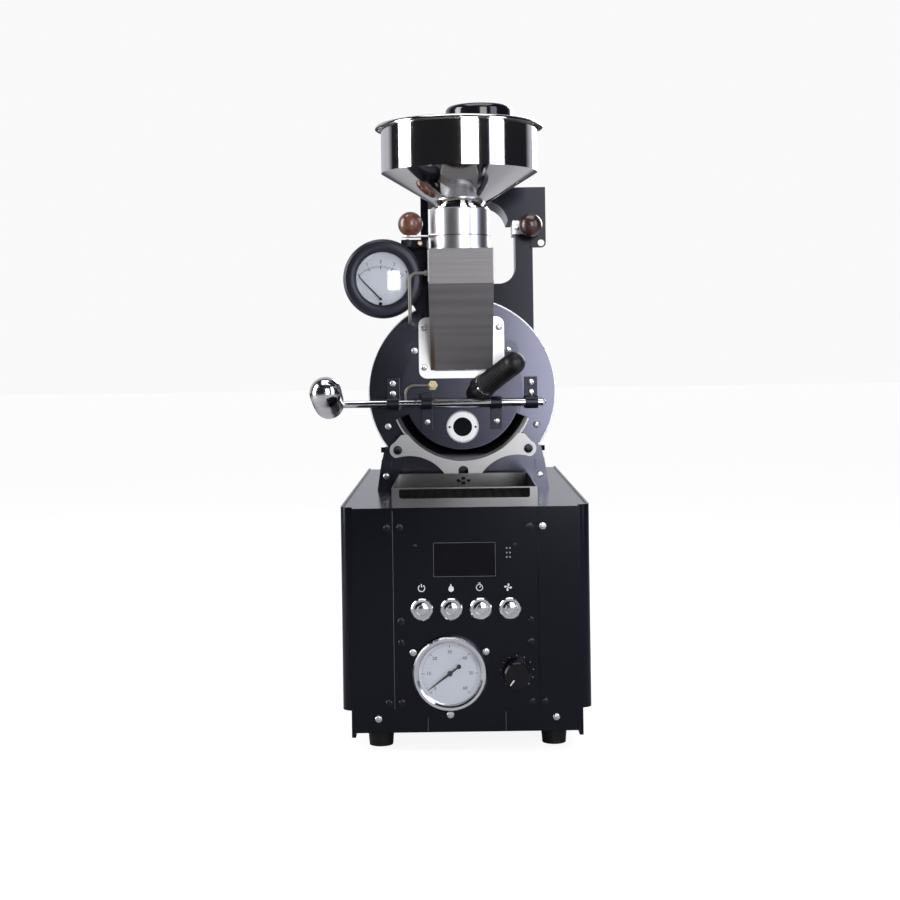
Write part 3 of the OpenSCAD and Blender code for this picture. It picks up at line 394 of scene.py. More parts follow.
def petal(turn):
    """One leaf of the fan pictogram."""
    reach = 2.9
    shape = [(0.4, -0.2), (1.4, -1.15), (reach - 0.3, -0.9), (reach, 0.1), (1.8, 0.35)]
    c, s = math.cos(math.radians(turn)), math.sin(math.radians(turn))
    return [(c * x - s * y, s * x + c * y) for x, y in shape]


flame = [(0, -2.9), (1.4, -2.5), (2.1, -1.2), (1.9, 0.2), (1.2, 1.3), (0.9, 0.4), (0.35, 1.9),
         (-0.3, 3.2), (-0.6, 1.6), (-1.4, 0.6), (-2.0, -0.8), (-1.6, -2.1), (-0.7, -2.8)]
pictograms = {
    -44.3: [band(2.4, 0.6, 120, 420), bar_outline(0, 0.6, 0, 3.1, 0.6)],
    -14.8: [flame],
    13.7: [band(2.3, 0.5, 0, 359.9), bar_outline(0, 0, 1.1, 1.1, 0.45),
           bar_outline(-0.8, 3.3, 0.8, 3.3, 0.6)],
    42.2: [petal(90 * k) for k in range(4)] + [ring_outline(0.5, steps=16)]}
drawn_size, print_thick = 1.35, 0.12
print_points, print_faces = [], []
for x, outlines in pictograms.items():
    points, faces = prism([[(drawn_size * u, drawn_size * v) for u, v in o] for o in outlines],
                          0.0, print_thick, on_panel(x, pictograms_z))
    print_faces += [tuple(i + len(print_points) for i in f) for f in faces]
    print_points += points
solid("button_pictograms", print_points, print_faces, print_white, "root", "black_plastic")

line_in, line_w = 0.6, 0.4
half_w, half_h = window_w / 2 - line_in, window_h / 2 - line_in
frame_lines = [bar_outline(-half_w, s * half_h, half_w, s * half_h, line_w) for s in (-1, 1)]
frame_lines += [bar_outline(s * half_w, -half_h, s * half_w, half_h, line_w) for s in (-1, 1)]
solid("window_frame", *prism(frame_lines, 0.0, 0.1, on_panel(window_x, window_z, -window_proud)),
      lines_and_highlight_grey, "root", "black_plastic")
lamps = [(x, z) for x in (41.3, 44.6) for z in (201.7, 197.2, 192.7)]
for k, (x, z) in enumerate(lamps):
    solid("lamp_%d" % k, *lathe([(0, 0), (0.8, 0), (0.8, 0.35), (0, 0.6)], 16, on_panel(x, z)),
          lamp_grey, "root", "black_plastic")

dome = [(0, 4.4), (7.4, 4.45), (7.25, 4.8), (6.6, 5.15), (5.2, 5.45), (5.0, 5.3), (4.8, 5.5),
        (2.5, 5.8), (0, 5.9)]
for body, x in (("power_key", -44.1), ("flame_key", -14.7), ("timer_key", 14.7),
                ("fan_key", 44.1)):
    solid(body + "_dome", *lathe(dome, 48, on_panel(x, buttons_z)), button_steel, body,
          "polished_steel")

# ---- Gas gauge ----
# A steel-cased pressure gauge with a white dial. Its ticks and numbers are printed, and its
# needle is a black pressed blade under glass.

gauge_steel = finish("gauge_steel", (0.60, 0.60, 0.62), (0.76, 0.76, 0.78), 1.0, 0.12,
                     spread=0.04, grain=1500)
dial_white = finish("dial_white", (0.90, 0.92, 0.99), (0.94, 0.96, 1.0), 0.0, 0.45)
dial_ink = finish("dial_ink", (0.015, 0.018, 0.035), (0.03, 0.035, 0.06), 0.0, 0.5)
needle_black = finish("needle_black", (0.006, 0.006, 0.008), (0.012, 0.012, 0.016), 0.0, 0.4)
coat_nodes(gauge_steel, "pressure_gauge_case")
coat_nodes(needle_black, "pressure_needle", "draft_needle")

gauge_glass = bpy.data.materials.new("gauge_glass")
gauge_glass.use_nodes = True
clear = gauge_glass.node_tree.nodes["Principled BSDF"]
clear.inputs["Base Color"].default_value = (0.97, 0.98, 1.0, 1)
clear.inputs["Roughness"].default_value = 0.02
clear.inputs["IOR"].default_value = 1.45
clear.inputs["Transmission Weight"].default_value = 1.0
coat_nodes(gauge_glass, "gauge_glasses")


def dial_ticks_tree():
    """Short bars set along an arc of the XY plane, pointing at its centre."""
    tree = bpy.data.node_groups.new("dial_ticks", "GeometryNodeTree")
    io = tree.interface
    io.new_socket("Start Mesh", in_out="INPUT", socket_type="NodeSocketGeometry")
    for name in ("Radius", "Start", "Sweep", "Length", "Width", "Height"):
        io.new_socket(name, in_out="INPUT", socket_type="NodeSocketFloat")
    io.new_socket("Count", in_out="INPUT", socket_type="NodeSocketInt")
    io.new_socket("Ink", in_out="INPUT", socket_type="NodeSocketMaterial")
    io.new_socket("Ticks", in_out="OUTPUT", socket_type="NodeSocketGeometry")
    n, link = tree.nodes, tree.links.new
    inside, outside = n.new("NodeGroupInput"), n.new("NodeGroupOutput")
    arc, to_points, bar = (n.new("GeometryNodeCurveArc"), n.new("GeometryNodeCurveToPoints"),
                           n.new("GeometryNodeMeshCube"))
    size, on_points = n.new("ShaderNodeCombineXYZ"), n.new("GeometryNodeInstanceOnPoints")
    place_at, angle, flat = (n.new("GeometryNodeInputPosition"), n.new("ShaderNodeMath"),
                             n.new("ShaderNodeCombineXYZ"))
    apart = n.new("ShaderNodeSeparateXYZ")
    real, paint = n.new("GeometryNodeRealizeInstances"), n.new("GeometryNodeSetMaterial")
    to_points.mode = "EVALUATED"
    angle.operation = "ARCTAN2"
    link(inside.outputs["Radius"], arc.inputs["Radius"])
    link(inside.outputs["Start"], arc.inputs["Start Angle"])
    link(inside.outputs["Sweep"], arc.inputs["Sweep Angle"])
    link(inside.outputs["Count"], arc.inputs["Resolution"])
    link(arc.outputs["Curve"], to_points.inputs["Curve"])
    link(inside.outputs["Length"], size.inputs["X"])
    link(inside.outputs["Width"], size.inputs["Y"])
    link(inside.outputs["Height"], size.inputs["Z"])
    link(size.outputs["Vector"], bar.inputs["Size"])
    link(place_at.outputs["Position"], apart.inputs["Vector"])
    link(apart.outputs["Y"], angle.inputs[0])
    link(apart.outputs["X"], angle.inputs[1])
    link(angle.outputs[0], flat.inputs["Z"])
    link(to_points.outputs["Points"], on_points.inputs["Points"])
    link(bar.outputs["Mesh"], on_points.inputs["Instance"])
    link(flat.outputs["Vector"], on_points.inputs["Rotation"])
    link(on_points.outputs["Instances"], real.inputs["Geometry"])
    link(real.outputs["Geometry"], paint.inputs["Geometry"])
    link(inside.outputs["Ink"], paint.inputs["Material"])
    link(paint.outputs["Geometry"], outside.inputs["Ticks"])
    return tree


dial_ticks, tick_thick = dial_ticks_tree(), 0.16


def ticks(name, centre, radius, start, sweep, count, length, width):
    """Printed ticks on a dial that faces -Y, from the start angle on, in degrees."""
    marks = grown(name, dial_ticks, bpy.data.meshes.new("none"),
                  {"Radius": radius / 1000, "Start": math.radians(start),
                   "Sweep": math.radians(sweep), "Length": length / 1000, "Width": width / 1000,
                   "Height": tick_thick / 1000, "Count": count, "Ink": dial_ink}, "root")
    marks.data.transform(Matrix.Translation(centre) @ Matrix.Rotation(math.pi / 2, 4, "X"))


def numeral(name, text, centre, size):
    """A printed number on a dial that faces -Y."""
    curve = bpy.data.curves.new(name, "FONT")
    curve.body, curve.size, curve.extrude = text, size / 1000, 0.00008
    curve.align_x, curve.align_y = "CENTER", "CENTER"
    curve.resolution_u = 3
    writer = bpy.data.objects.new(name + "_curve", curve)
    bpy.context.scene.collection.objects.link(writer)
    mesh = plain_mesh(writer)
    mesh.transform(Matrix.Translation(centre) @ Matrix.Rotation(math.pi / 2, 4, "X"))
    mesh.materials.clear()
    mesh.materials.append(dial_ink)
    work = bmesh.new()
    work.from_mesh(mesh)
    bmesh.ops.remove_doubles(work, verts=work.verts, dist=1e-6)
    bmesh.ops.recalc_face_normals(work, faces=work.faces)
    work.to_mesh(mesh)
    work.free()
    add_piece(name, mesh, "root")


dial_y, dial_r, dial_print = -1, 31.2, 0.36
solid("gauge_dial", *lathe([(0, 0.05), (dial_r, 0.05), (dial_r, 0.3), (0, 0.3)], 64,
                           on_panel(gauge_x, gauge_z, dial_y)), dial_white, "root", "glass")
dial_face = place(gauge_x, dial_y - dial_print, gauge_z)
ticks("gauge_ticks", dial_face, 27.6, -45, 270, 61, 1.6, 0.2)
ticks("gauge_main_ticks", dial_face, 26.9, -45, 270, 7, 3.0, 0.5)
numbers_r = 0.0212
for k in range(7):
    numeral("gauge_number_%d" % k, str(10 * k), dial_face + numbers_r * way(225 - 45 * k), 4.6)
tail, tail_reach = math.radians(36.9), 11.2
solid("needle_weight", *lathe([(0, 0.5), (2.3, 0.5), (2.3, 1.1), (1.9, 1.35), (0, 1.35)], 24,
                              on_panel(gauge_x + tail_reach * math.cos(tail),
                                       gauge_z + tail_reach * math.sin(tail), dial_y - 1.4)),
      needle_black, "gas_pointer", "black_plastic")

# ---- Heat knob ----
# A black moulded knob with a ribbed skirt and a white pointer line, pushed onto its spindle.
# The printed dots round it grow towards the hottest end of its turn.

knob_black = finish("knob_black", (0.003, 0.003, 0.004), (0.007, 0.007, 0.009), 0.0, 0.16,
                    spread=0.05, grain=1200, bump=0.03, sheen=0.2)
coat_nodes(knob_black, "heat_knob")
on_knob = on_panel(50, 77.5)


def ribs_round(count, foot_r, crest_r, foot_half, crest_half):
    """Outlines of ribs round an axis. The half widths, in radians, are of a foot and a crest."""
    return [[(r * math.cos(t + a), r * math.sin(t + a)) for r, a in
             ((foot_r, -foot_half), (crest_r, -crest_half), (crest_r, crest_half),
              (foot_r, foot_half))]
            for t in (2 * math.pi * k / count for k in range(count))]


solid("knob_ribs", *prism(ribs_round(24, 13.2, 13.95, 0.045, 0.03), 2.0, 14.5, on_knob),
      knob_black, "heat_dial", "black_plastic")
solid("knob_pointer", *prism([bar_outline(-3.5, -4.6, -7.4, -9.8, 1.1)], 17.9, 18.05, on_knob),
      print_white, "heat_dial", "black_plastic")
knob_dots, dots_r = [], 16.6
for k in range(11):
    turn = math.radians(225 - 27 * k)
    knob_dots.append([(dots_r * math.cos(turn) + x, dots_r * math.sin(turn) + y)
                      for x, y in ring_outline(0.25 + 0.03 * k, steps=12)])
solid("knob_scale", *prism(knob_dots, 0.0, 0.1, on_knob), lamp_grey, "root", "black_plastic")

# ---- Drum front ----
# A thick round steel plate on two legs, enamelled satin blue-black, with a painted highlight on its
# chamfered edge.
# The cover plate, bearing blocks and discharge door are bolted in front of it.

front_black = finish("front_black", (0.075, 0.077, 0.104), (0.100, 0.102, 0.136), 1.0, 0.17,
                     spread=0.03, grain=1600)
cover_black = finish("cover_black", (0.062, 0.063, 0.086), (0.080, 0.082, 0.110), 1.0, 0.21,
                     spread=0.03, grain=1600)
door_black = finish("door_black", (0.044, 0.045, 0.064), (0.056, 0.057, 0.080), 1.0, 0.21,
                    spread=0.03, grain=1600)
block_black = finish("block_black", (0.016, 0.016, 0.026), (0.028, 0.028, 0.042), 0.7, 0.3,
                     spread=0.05, grain=1600)
# Painted highlight: a near-white, mostly dull finish for the plate's chamfered edge
edge_highlight_white = finish("edge_highlight_white", (0.80, 0.80, 0.84), (0.90, 0.90, 0.94), 0.25, 0.3, grain=2200)
drum_steel = finish("drum_steel", (0.26, 0.25, 0.24), (0.42, 0.41, 0.40), 1.0, 0.42, spread=0.2)
coat_nodes(front_black, "front_plate", "drum_housing")
coat_nodes(cover_black, "cover_plate")
coat_nodes(door_black, "discharge_door")
coat_nodes(block_black, "door_arms", "bearing_blocks", "tryer_sleeve")
coat_nodes(drum_steel, "drum", "drum_shaft")

drum_z, face_y, face_r = 354.4, 210, 106.4


def rim_band(start, end):
    """The chamfer of the round plate, painted near white as a highlight, from one leg over the top to
    the other.
    """
    steps, points, faces = 90, [], []
    profile = [(face_r - 1.2, -0.4), (face_r - 1.2, 0.12), (face_r - 0.1, 0.12), (face_r + 0.25, -0.3),
               (face_r + 0.25, -2.4), (face_r - 0.4, -2.4)]
    m = len(profile)
    for k in range(steps + 1):
        a = math.radians(start + (end - start) * k / steps)
        points += [place(r * math.cos(a), face_y - h, drum_z + r * math.sin(a)) for r, h in profile]
    for k in range(steps):
        faces += [(k * m + i, k * m + (i + 1) % m, (k + 1) * m + (i + 1) % m, (k + 1) * m + i)
                  for i in range(m)]
    faces += [tuple(range(m)), tuple(range(steps * m + m - 1, steps * m - 1, -1))]
    return points, faces


# The chamfer ends 36 degrees below the level of its centre, where the legs begin
legs_below = 36
solid("face_edge", *rim_band(-legs_below, 180 + legs_below), edge_highlight_white, "root", "brushed_steel")

# Hexagon bolts that enter the legs' edges from the sides
hexagon = ring_outline(3.4, steps=6)
for side, s in (("left", -1), ("right", 1)):
    solid("leg_bolt_" + side,
          *prism([hexagon], 88.6, 93.0, lambda y, z, h: place(s * h, 214 + y, 288.5 + z)),
          screw_black, "root", "brushed_steel")

# ---- Discharge door ----
# A half-round enamelled door that hangs from a polished rod by two arms. It has a steel ring
# round a sight glass, and a turned steel handle at the rod's left end lifts it.

polished = finish("polished", (0.62, 0.62, 0.64), (0.80, 0.80, 0.82), 1.0, 0.09, spread=0.05,
                  clouds=20)
handle_steel = finish("handle_steel", (0.50, 0.50, 0.52), (0.72, 0.72, 0.74), 1.0, 0.14,
                      spread=0.05, clouds=20)
sight_black = finish("sight_black", (0.004, 0.004, 0.005), (0.010, 0.010, 0.012), 0.0, 0.06,
                     spread=0.02, coat=0.8)
sight_bright = finish("sight_bright", (0.84, 0.84, 0.85), (0.92, 0.92, 0.93), 0.35, 0.45)
coat_nodes(sight_bright, "sight_ring")
coat_nodes(polished, "pivot_rod")
coat_nodes(handle_steel, "lever_handle")
coat_nodes(sight_black, "sight_glass")
arm_size, ring_size = 0.0034, 0.0013
set_out("arm_screws", head, arm_size, [place(x, 194.7, 320.5) for x in (-39.4, 38.7)],
        screw_steel, "door")
set_out("ring_screws", head, ring_size, [place(s * 14.7, 195.7, 314.3) for s in (-1, 1)],
        screw_black, "door")

# ---- Discharge funnel and cooling tray ----
# A bent stainless half cone with a Y-shaped plate lets the beans down into a folded stainless
# tray. The tray's perforated floor lies over the cooling fan, and the tray slides out forwards.

funnel_steel = finish("funnel_steel", (0.32, 0.32, 0.325), (0.43, 0.43, 0.435), 1.0, 0.33,
                      spread=0.04, grain=900)
tray_steel = finish("tray_steel", (0.16, 0.157, 0.16), (0.34, 0.335, 0.34), 1.0, 0.2,
                    spread=0.08, clouds=14, grain=900, stretch=(1, 0.3, 0.3))
# Near black for the valve's dark seam, and for painted shade over the tray's holes
dark_seam_and_shade = finish("dark_seam_and_shade", (0.003, 0.003, 0.003), (0.006, 0.006, 0.006), 0.0, 0.8, sheen=0.05)
# Painted shade: the tray's perforated floor is near black and barely reflects, so the tray's inside
# and its finger slot look dark
sieve_painted_shade = finish("sieve_painted_shade", (0.004, 0.004, 0.004), (0.009, 0.009, 0.009), 0.0, 0.8,
                    sheen=0.04)
fan_black = finish("fan_black", (0.008, 0.008, 0.009), (0.016, 0.016, 0.018), 0.0, 0.45)
coat_nodes(funnel_steel, "discharge_funnel")
coat_nodes(tray_steel, "cooling_tray")
coat_nodes(sieve_painted_shade, "tray_floor")
coat_nodes(fan_black, "cooling_fan", "cooling_fan_housing")


def stain(material, colour, *ramps):
    """Colours a finish, as a real stain and as painted shade, where all ramps (axis, from, to) along
    the frame's axes are past their end.
    """
    n, link = material.node_tree.nodes, material.node_tree.links.new
    at, stain_and_shade_mix = n.new("ShaderNodeSeparateXYZ"), n.new("ShaderNodeMix")
    stain_and_shade_mix.data_type = "RGBA"
    stain_and_shade_mix.inputs["B"].default_value = (*colour, 1)
    link(n["Texture Coordinate"].outputs["Object"], at.inputs[0])
    amount = None
    for axis, start, end in ramps:
        ramp = n.new("ShaderNodeMapRange")
        ramp.inputs["From Min"].default_value, ramp.inputs["From Max"].default_value = start, end
        link(at.outputs[axis], ramp.inputs["Value"])
        if amount:
            both = n.new("ShaderNodeMath")
            both.operation = "MULTIPLY"
            link(amount, both.inputs[0])
            link(ramp.outputs["Result"], both.inputs[1])
            amount = both.outputs[0]
        else:
            amount = ramp.outputs["Result"]
    link(amount, stain_and_shade_mix.inputs["Factor"])
    link(n["Mix"].outputs["Result"], stain_and_shade_mix.inputs["A"])
    link(stain_and_shade_mix.outputs["Result"], n["Principled BSDF"].inputs["Base Color"])


# Painted shade and painted reflection of the dark door darken the inside of the half cone, save for
# its lip
plate_thick, lip_low, lip_high = 0.0055, drum_z - 75, drum_z - 70
plate_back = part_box("discharge_funnel")[0].y + plate_thick
stain(funnel_steel, (0.022, 0.022, 0.030), ("Y", plate_back, plate_back + 0.0006),
      ("Z", place(0, 0, lip_low).z, place(0, 0, lip_high).z))

# Painted shade: dark patches, larger than the holes, on the inside of the tray's back wall where small
# holes are punched through it
tray_lo, tray_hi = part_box("cooling_tray")
tray_wall, holes_z = 1.5, 11.6


def rectangle(x0, z0, x1, z1):
    """The outline of a rectangle between two of its corners."""
    return [(x0, z0), (x1, z0), (x1, z1), (x0, z1)]


def on_tray_back(x, z, h):
    """Turns (x, z, height) into a place on the inside of the tray's back wall."""
    return Vector((mid_x + x / 1000, tray_hi.y - (tray_wall + h) / 1000,
                   tray_lo.z + (holes_z + z) / 1000))


hole_shade_patches = [rectangle(x - 2, z - 1.5, x + 2, z + 1.5)
             for x, z in ((-5.6, 0), (0, 2.7), (0, -2.7), (5.6, 0))]
solid("tray_punches", *prism(hole_shade_patches, 0.0, 0.06, on_tray_back), dark_seam_and_shade, "tray", "black_metal")

# ---- Sampling scoop and thermocouple ----
# The scoop's tube passes a sleeve on the cover plate. Its black grip is ribbed like a file
# handle. The brass gland beside it holds the bean thermometer, whose lead runs off to the left.

grip_black = finish("grip_black", (0.004, 0.004, 0.005), (0.009, 0.009, 0.010), 0.0, 0.42,
                    grain=1100, bump=0.15, sheen=0.4)
brass = finish("brass", (0.50, 0.40, 0.25), (0.70, 0.60, 0.40), 1.0, 0.28, grain=1500, bump=0.03)
coat_nodes(grip_black, "tryer_handle")
coat_nodes(polished, "tryer_scoop", "tryer_collar")
coat_nodes(brass, "thermocouple", "gas_burner")
lead_grey = finish("lead_grey", (0.13, 0.12, 0.11), (0.22, 0.21, 0.19), 0.6, 0.38, grain=1800)


def tube(name, path, r, material, slot):
    """A round rod along a path of points in the frame, which rides on the machine's root."""
    steps, points, faces, side = 16, [], [], None
    for k, at in enumerate(path):
        ahead = (path[min(k + 1, len(path) - 1)] - path[max(k - 1, 0)]).normalized()
        side = ahead.orthogonal() if side is None else side - ahead * side.dot(ahead)
        side.normalize()
        across = ahead.cross(side)
        points += [at + r / 1000 * (math.cos(a) * side + math.sin(a) * across)
                   for a in (2 * math.pi * i / steps for i in range(steps))]
    for k in range(len(path) - 1):
        faces += [(k * steps + i, k * steps + (i + 1) % steps, (k + 1) * steps + (i + 1) % steps,
                   (k + 1) * steps + i) for i in range(steps)]
    faces += [tuple(range(steps)), tuple(range(len(points) - 1, len(points) - steps - 1, -1))]
    solid(name, points, faces, material, "root", slot)


def arc(centre, from_way, to_way, r):
    """Points of a quarter turn round a centre, between two directions."""
    steps = 10
    return [centre + r / 1000 * (math.cos(a) * from_way + math.sin(a) * to_way)
            for a in (math.pi / 2 * k / steps for k in range(steps + 1))]


left, up, back = Vector((-1, 0, 0)), Vector((0, 0, 1)), Vector((0, 1, 0))
lead_z, lead_r = 361.4, 1.75
tube("thermocouple_lead", [place(-37.8, 198, lead_z)]
     + arc(place(-54, 198, lead_z - 10), up, left, 10)
     + arc(place(-64, 206, lead_z - 14), -back, -up, 8), lead_r, lead_grey, "brushed_steel")

# The scoop's guide: a black ring with knurls round it
lean, yaw = math.radians(66.7), math.radians(-57.5)
scoop_turn = Matrix.Rotation(yaw, 3, "Z") @ Matrix.Rotation(lean, 3, "Y")
scoop_at = place(27.8, 190, 362.3)


def on_scoop(x, y, h):
    """Turns (x, y, along) into a place round the scoop's axis."""
    return scoop_at + scoop_turn @ Vector((x, y, h)) / 1000


solid("guide_knurls", *prism(ribs_round(22, 12.6, 13.7, 0.11, 0.06), -12.5, -4.4, on_scoop),
      grip_black, "root", "black_metal")
solid("guide_ring", *lathe([(11.1, -13), (12.3, -13), (12.9, -12), (12.9, -5), (12.3, -4),
                            (11.1, -4)], 48, on_scoop, True), grip_black, "root", "black_metal")

# ---- Feed chute and valve ----
# A chute folded from brushed stainless sheet and welded at its corners stands on a bright flange
# in front of the drum. Above it, two turned aluminium rings hold the sliding gate.

chute_steel = finish("chute_steel", (0.15, 0.141, 0.141), (0.31, 0.298, 0.298), 0.3, 0.5,
                     spread=0.2, clouds=150, grain=1400, stretch=(0.02, 0.3, 1), bump=0.08)
flange_steel = finish("flange_steel", (0.80, 0.80, 0.82), (0.92, 0.92, 0.94), 0.7, 0.4,
                      spread=0.05)
aluminium = finish("aluminium", (0.66, 0.66, 0.69), (0.78, 0.78, 0.81), 1.0, 0.3, spread=0.04,
                   grain=900, stretch=(0.05, 0.05, 1))
coat_nodes(chute_steel, "feed_chute")
coat_nodes(flange_steel, "chute_flange", "gate_blade")
coat_nodes(aluminium, "valve_lower", "valve_upper", "damper_body", "shaft_bearing")
# Welding has tinted the chute's left edge brown towards its foot
stain(chute_steel, (0.12, 0.083, 0.055), ("X", place(-29.4, 0, 0).x, place(-31, 0, 0).x),
      ("Z", place(0, 0, 436).z, place(0, 0, 395).z))
weld_drop = bpy.data.objects.new("weld_drop", bpy.data.meshes.new("weld_drop"))
work = bmesh.new()
bmesh.ops.create_icosphere(work, subdivisions=1, radius=1)
work.to_mesh(weld_drop.data)
work.free()


def weld_bead(name, a, b, size, material, drops):
    """A row of overlapping weld drops from a to b, as the tree sets them."""
    set_out(name, weld_drop, size, [a + (b - a) * (k + 0.5) / drops for k in range(drops)],
            material, "root")


weld_x, weld_y, thin_drop, thick_drop = 34.6, 105.6, 0.0009, 0.0013
for side, s in (("left", -1), ("right", 1)):
    weld_bead("chute_weld_" + side, place(s * weld_x, weld_y, 474), place(s * weld_x, weld_y, 508),
              thin_drop, flange_steel, 26)
weld_bead("chute_weld_foot", place(-31, 201.4, 378.4), place(31, 201.4, 378.4), thick_drop,
          screw_steel, 30)
# Bolts that hold the gauge's bracket under the gate: a brass one and a black one
bolts_z, bracket_y = 516.3, 124
solid("bracket_nut", *lathe([(0, -1), (2.9, -1), (2.9, 2.4), (2.2, 3.2), (0, 3.2)], 6,
                            on_panel(-43.5, bolts_z, bracket_y)), brass, "root", "brass")
solid("bracket_bolt", *lathe([(0, -1), (4.6, -1), (4.6, 3.5), (3.8, 4.6), (0, 4.8)], 32,
                             on_panel(-57, bolts_z, bracket_y)), screw_black, "root", "black_metal")
valve_y, seam_z = 138, 524.0
solid("valve_seam", *lathe([(31.6, 0.05), (32.58, 0.05), (32.58, 0.75), (31.6, 0.75)], 96,
                           lambda x, y, h: place(x, valve_y + y, seam_z + h), True), dark_seam_and_shade,
      "root", "black_metal")

# ---- Wooden balls ----
# Beech balls, turned on a lathe and lacquered, and screwed onto the ends of the gate's and the
# damper's slides. The gate's ball is red-brown, and the damper's is darker.


def timber(name, dark, light):
    """Lacquered wood with rings round the ball's own upright axis."""
    material = finish(name, dark, light, 0.0, 0.3, clouds=60, coat=0.5)
    n, link = material.node_tree.nodes, material.node_tree.links.new
    rings, uneven = n.new("ShaderNodeTexWave"), n["Group"]
    rings.wave_type, rings.bands_direction = "BANDS", "X"
    rings.inputs["Scale"].default_value = 34
    rings.inputs["Distortion"].default_value = 7
    rings.inputs["Detail"].default_value = 3
    link(n["Mapping"].outputs["Vector"], rings.inputs["Vector"])
    mixed = n.new("ShaderNodeMath")
    mixed.operation = "MULTIPLY_ADD"
    mixed.inputs[1].default_value = 0.5
    half = n.new("ShaderNodeMath")
    half.operation = "MULTIPLY"
    half.inputs[1].default_value = 0.6
    link(uneven.outputs["Cloud"], half.inputs[0])
    link(rings.outputs["Fac"], mixed.inputs[0])
    link(half.outputs[0], mixed.inputs[2])
    link(mixed.outputs[0], n["Mix"].inputs["Factor"])
    return material


coat_nodes(timber("red_wood", (0.085, 0.028, 0.014), (0.19, 0.075, 0.040)), "gate_ball")
coat_nodes(timber("dark_wood", (0.024, 0.007, 0.006), (0.050, 0.018, 0.014)), "damper_ball")

# ---- Hopper ----
# A spun stainless bowl with a rolled rim, polished like a mirror outside. Its neck stands in
# the feed valve, with a collar round it that rests on the valve's upper ring.

mirror_steel = finish("mirror_steel", (0.58, 0.57, 0.56), (0.74, 0.73, 0.72), 1.0, 0.07,
                      spread=0.04, clouds=14, grain=300, stretch=(0.3, 0.3, 4))
coat_nodes(mirror_steel, "hopper")

# ---- Exhaust ----
# Black enamelled sheet: a duct from the drum housing, a damper box with a pull slide, and a
# housing with an arch cut through it, under a round pipe with a fan inside.

coat_nodes(cabinet_black, "exhaust_duct", "exhaust_housing", "gauge_bracket")
pipe_black = finish("pipe_black", (0.004, 0.004, 0.007), (0.008, 0.008, 0.013), 0.0, 0.12,
                    spread=0.04, coat=0.3)
coat_nodes(pipe_black, "exhaust_pipe", "drum_motor")
coat_nodes(polished, "damper_slide")
coat_nodes(aluminium, "exhaust_fan")

# ---- Draught gauge ----
# A black-cased low-pressure gauge with a white dial: numbers on an arc at the top, a black zero
# screw below, and a thin black needle. It hangs on a bracket beside the feed chute.

case_black = finish("case_black", (0.008, 0.008, 0.013), (0.015, 0.015, 0.023), 0.0, 0.36,
                    spread=0.08, sheen=0.4, tint=(0.8, 0.82, 1.0))
coat_nodes(case_black, "draft_gauge_case")
draft_x, draft_z, draft_face, draft_r = -84, 478.4, 116, 28.5
pivot_x, pivot_z, draft_print = -86.7, 456.7, 0.5
pivot = place(pivot_x, draft_face - draft_print, pivot_z)
on_draft = on_panel(draft_x, draft_z, draft_face)
solid("draft_dial", *lathe([(0, 0.05), (draft_r, 0.05), (draft_r, 0.35), (0, 0.35)], 64, on_draft),
      dial_white, "root", "glass")
ticks("draft_ticks", pivot, 34.5, 46, 86, 41, 2.2, 0.3)
ticks("draft_main_ticks", pivot, 34.0, 46, 86, 5, 4.0, 0.7)
draft_numbers_r = 0.0400
for k in range(5):
    numeral("draft_number_%d" % k, str(k), pivot + draft_numbers_r * way(132 - 21.5 * k), 5.2)
# A domed bezel round the case, and the thin tube from the chute to the drum's front
solid("draft_bezel", *lathe([(29.2, 5.2), (31, 6.3), (35.5, 6.5), (39.5, 5.4), (42, 2.8), (42.7, -0.5),
                             (42.7, -6.5), (40.5, -7.5), (36, -7.5), (36, 4)], 96, on_draft, True),
      case_black, "root", "black_plastic")
tube_top, tube_low, tube_y, tube_r = draft_z + 5, draft_z - 48, 107, 1.95
tube("draught_tube", [place(-35.3, tube_y, tube_top)]
     + arc(place(-47, tube_y, tube_top - 8), up, left, 8)
     + arc(place(-55, tube_y + 8, tube_low + 8), -back, -up, 8)
     + [place(-55, face_y - 0.1, tube_low)], tube_r, lead_grey, "brushed_steel")
solid("draught_fitting", *lathe([(0, 0), (3.2, 0), (3.2, 3.5), (2.4, 4.2), (0, 4.2)], 6,
                                lambda x, y, h: place(-35.1 - h, tube_y + x, tube_top + y)),
      lead_grey, "root", "brushed_steel")
solid("draft_zero_screw", *lathe([(0, 0), (1.8, 0), (1.8, 0.8), (1.4, 1.1), (0, 1.1)], 24,
                                 on_panel(pivot_x, 451.5, draft_face - 0.35)), screw_black,
      "root", "black_plastic")

# ---- Back ----
# The back panel's appliance inlet: an insert moulded in black plastic, pushed through the
# panel's opening until its rim lies on the sheet, with three flat brass pins.

inlet_black = finish("inlet_black", (0.010, 0.010, 0.011), (0.02, 0.02, 0.022), 0.0, 0.42)
inlet_x, inlet_z, back_y = -60, 75, 535


def on_inlet(x, z, h):
    """Turns (x, z, height) into a place on the inlet, with the height towards the back."""
    return place(inlet_x + x, back_y + h, inlet_z + z)


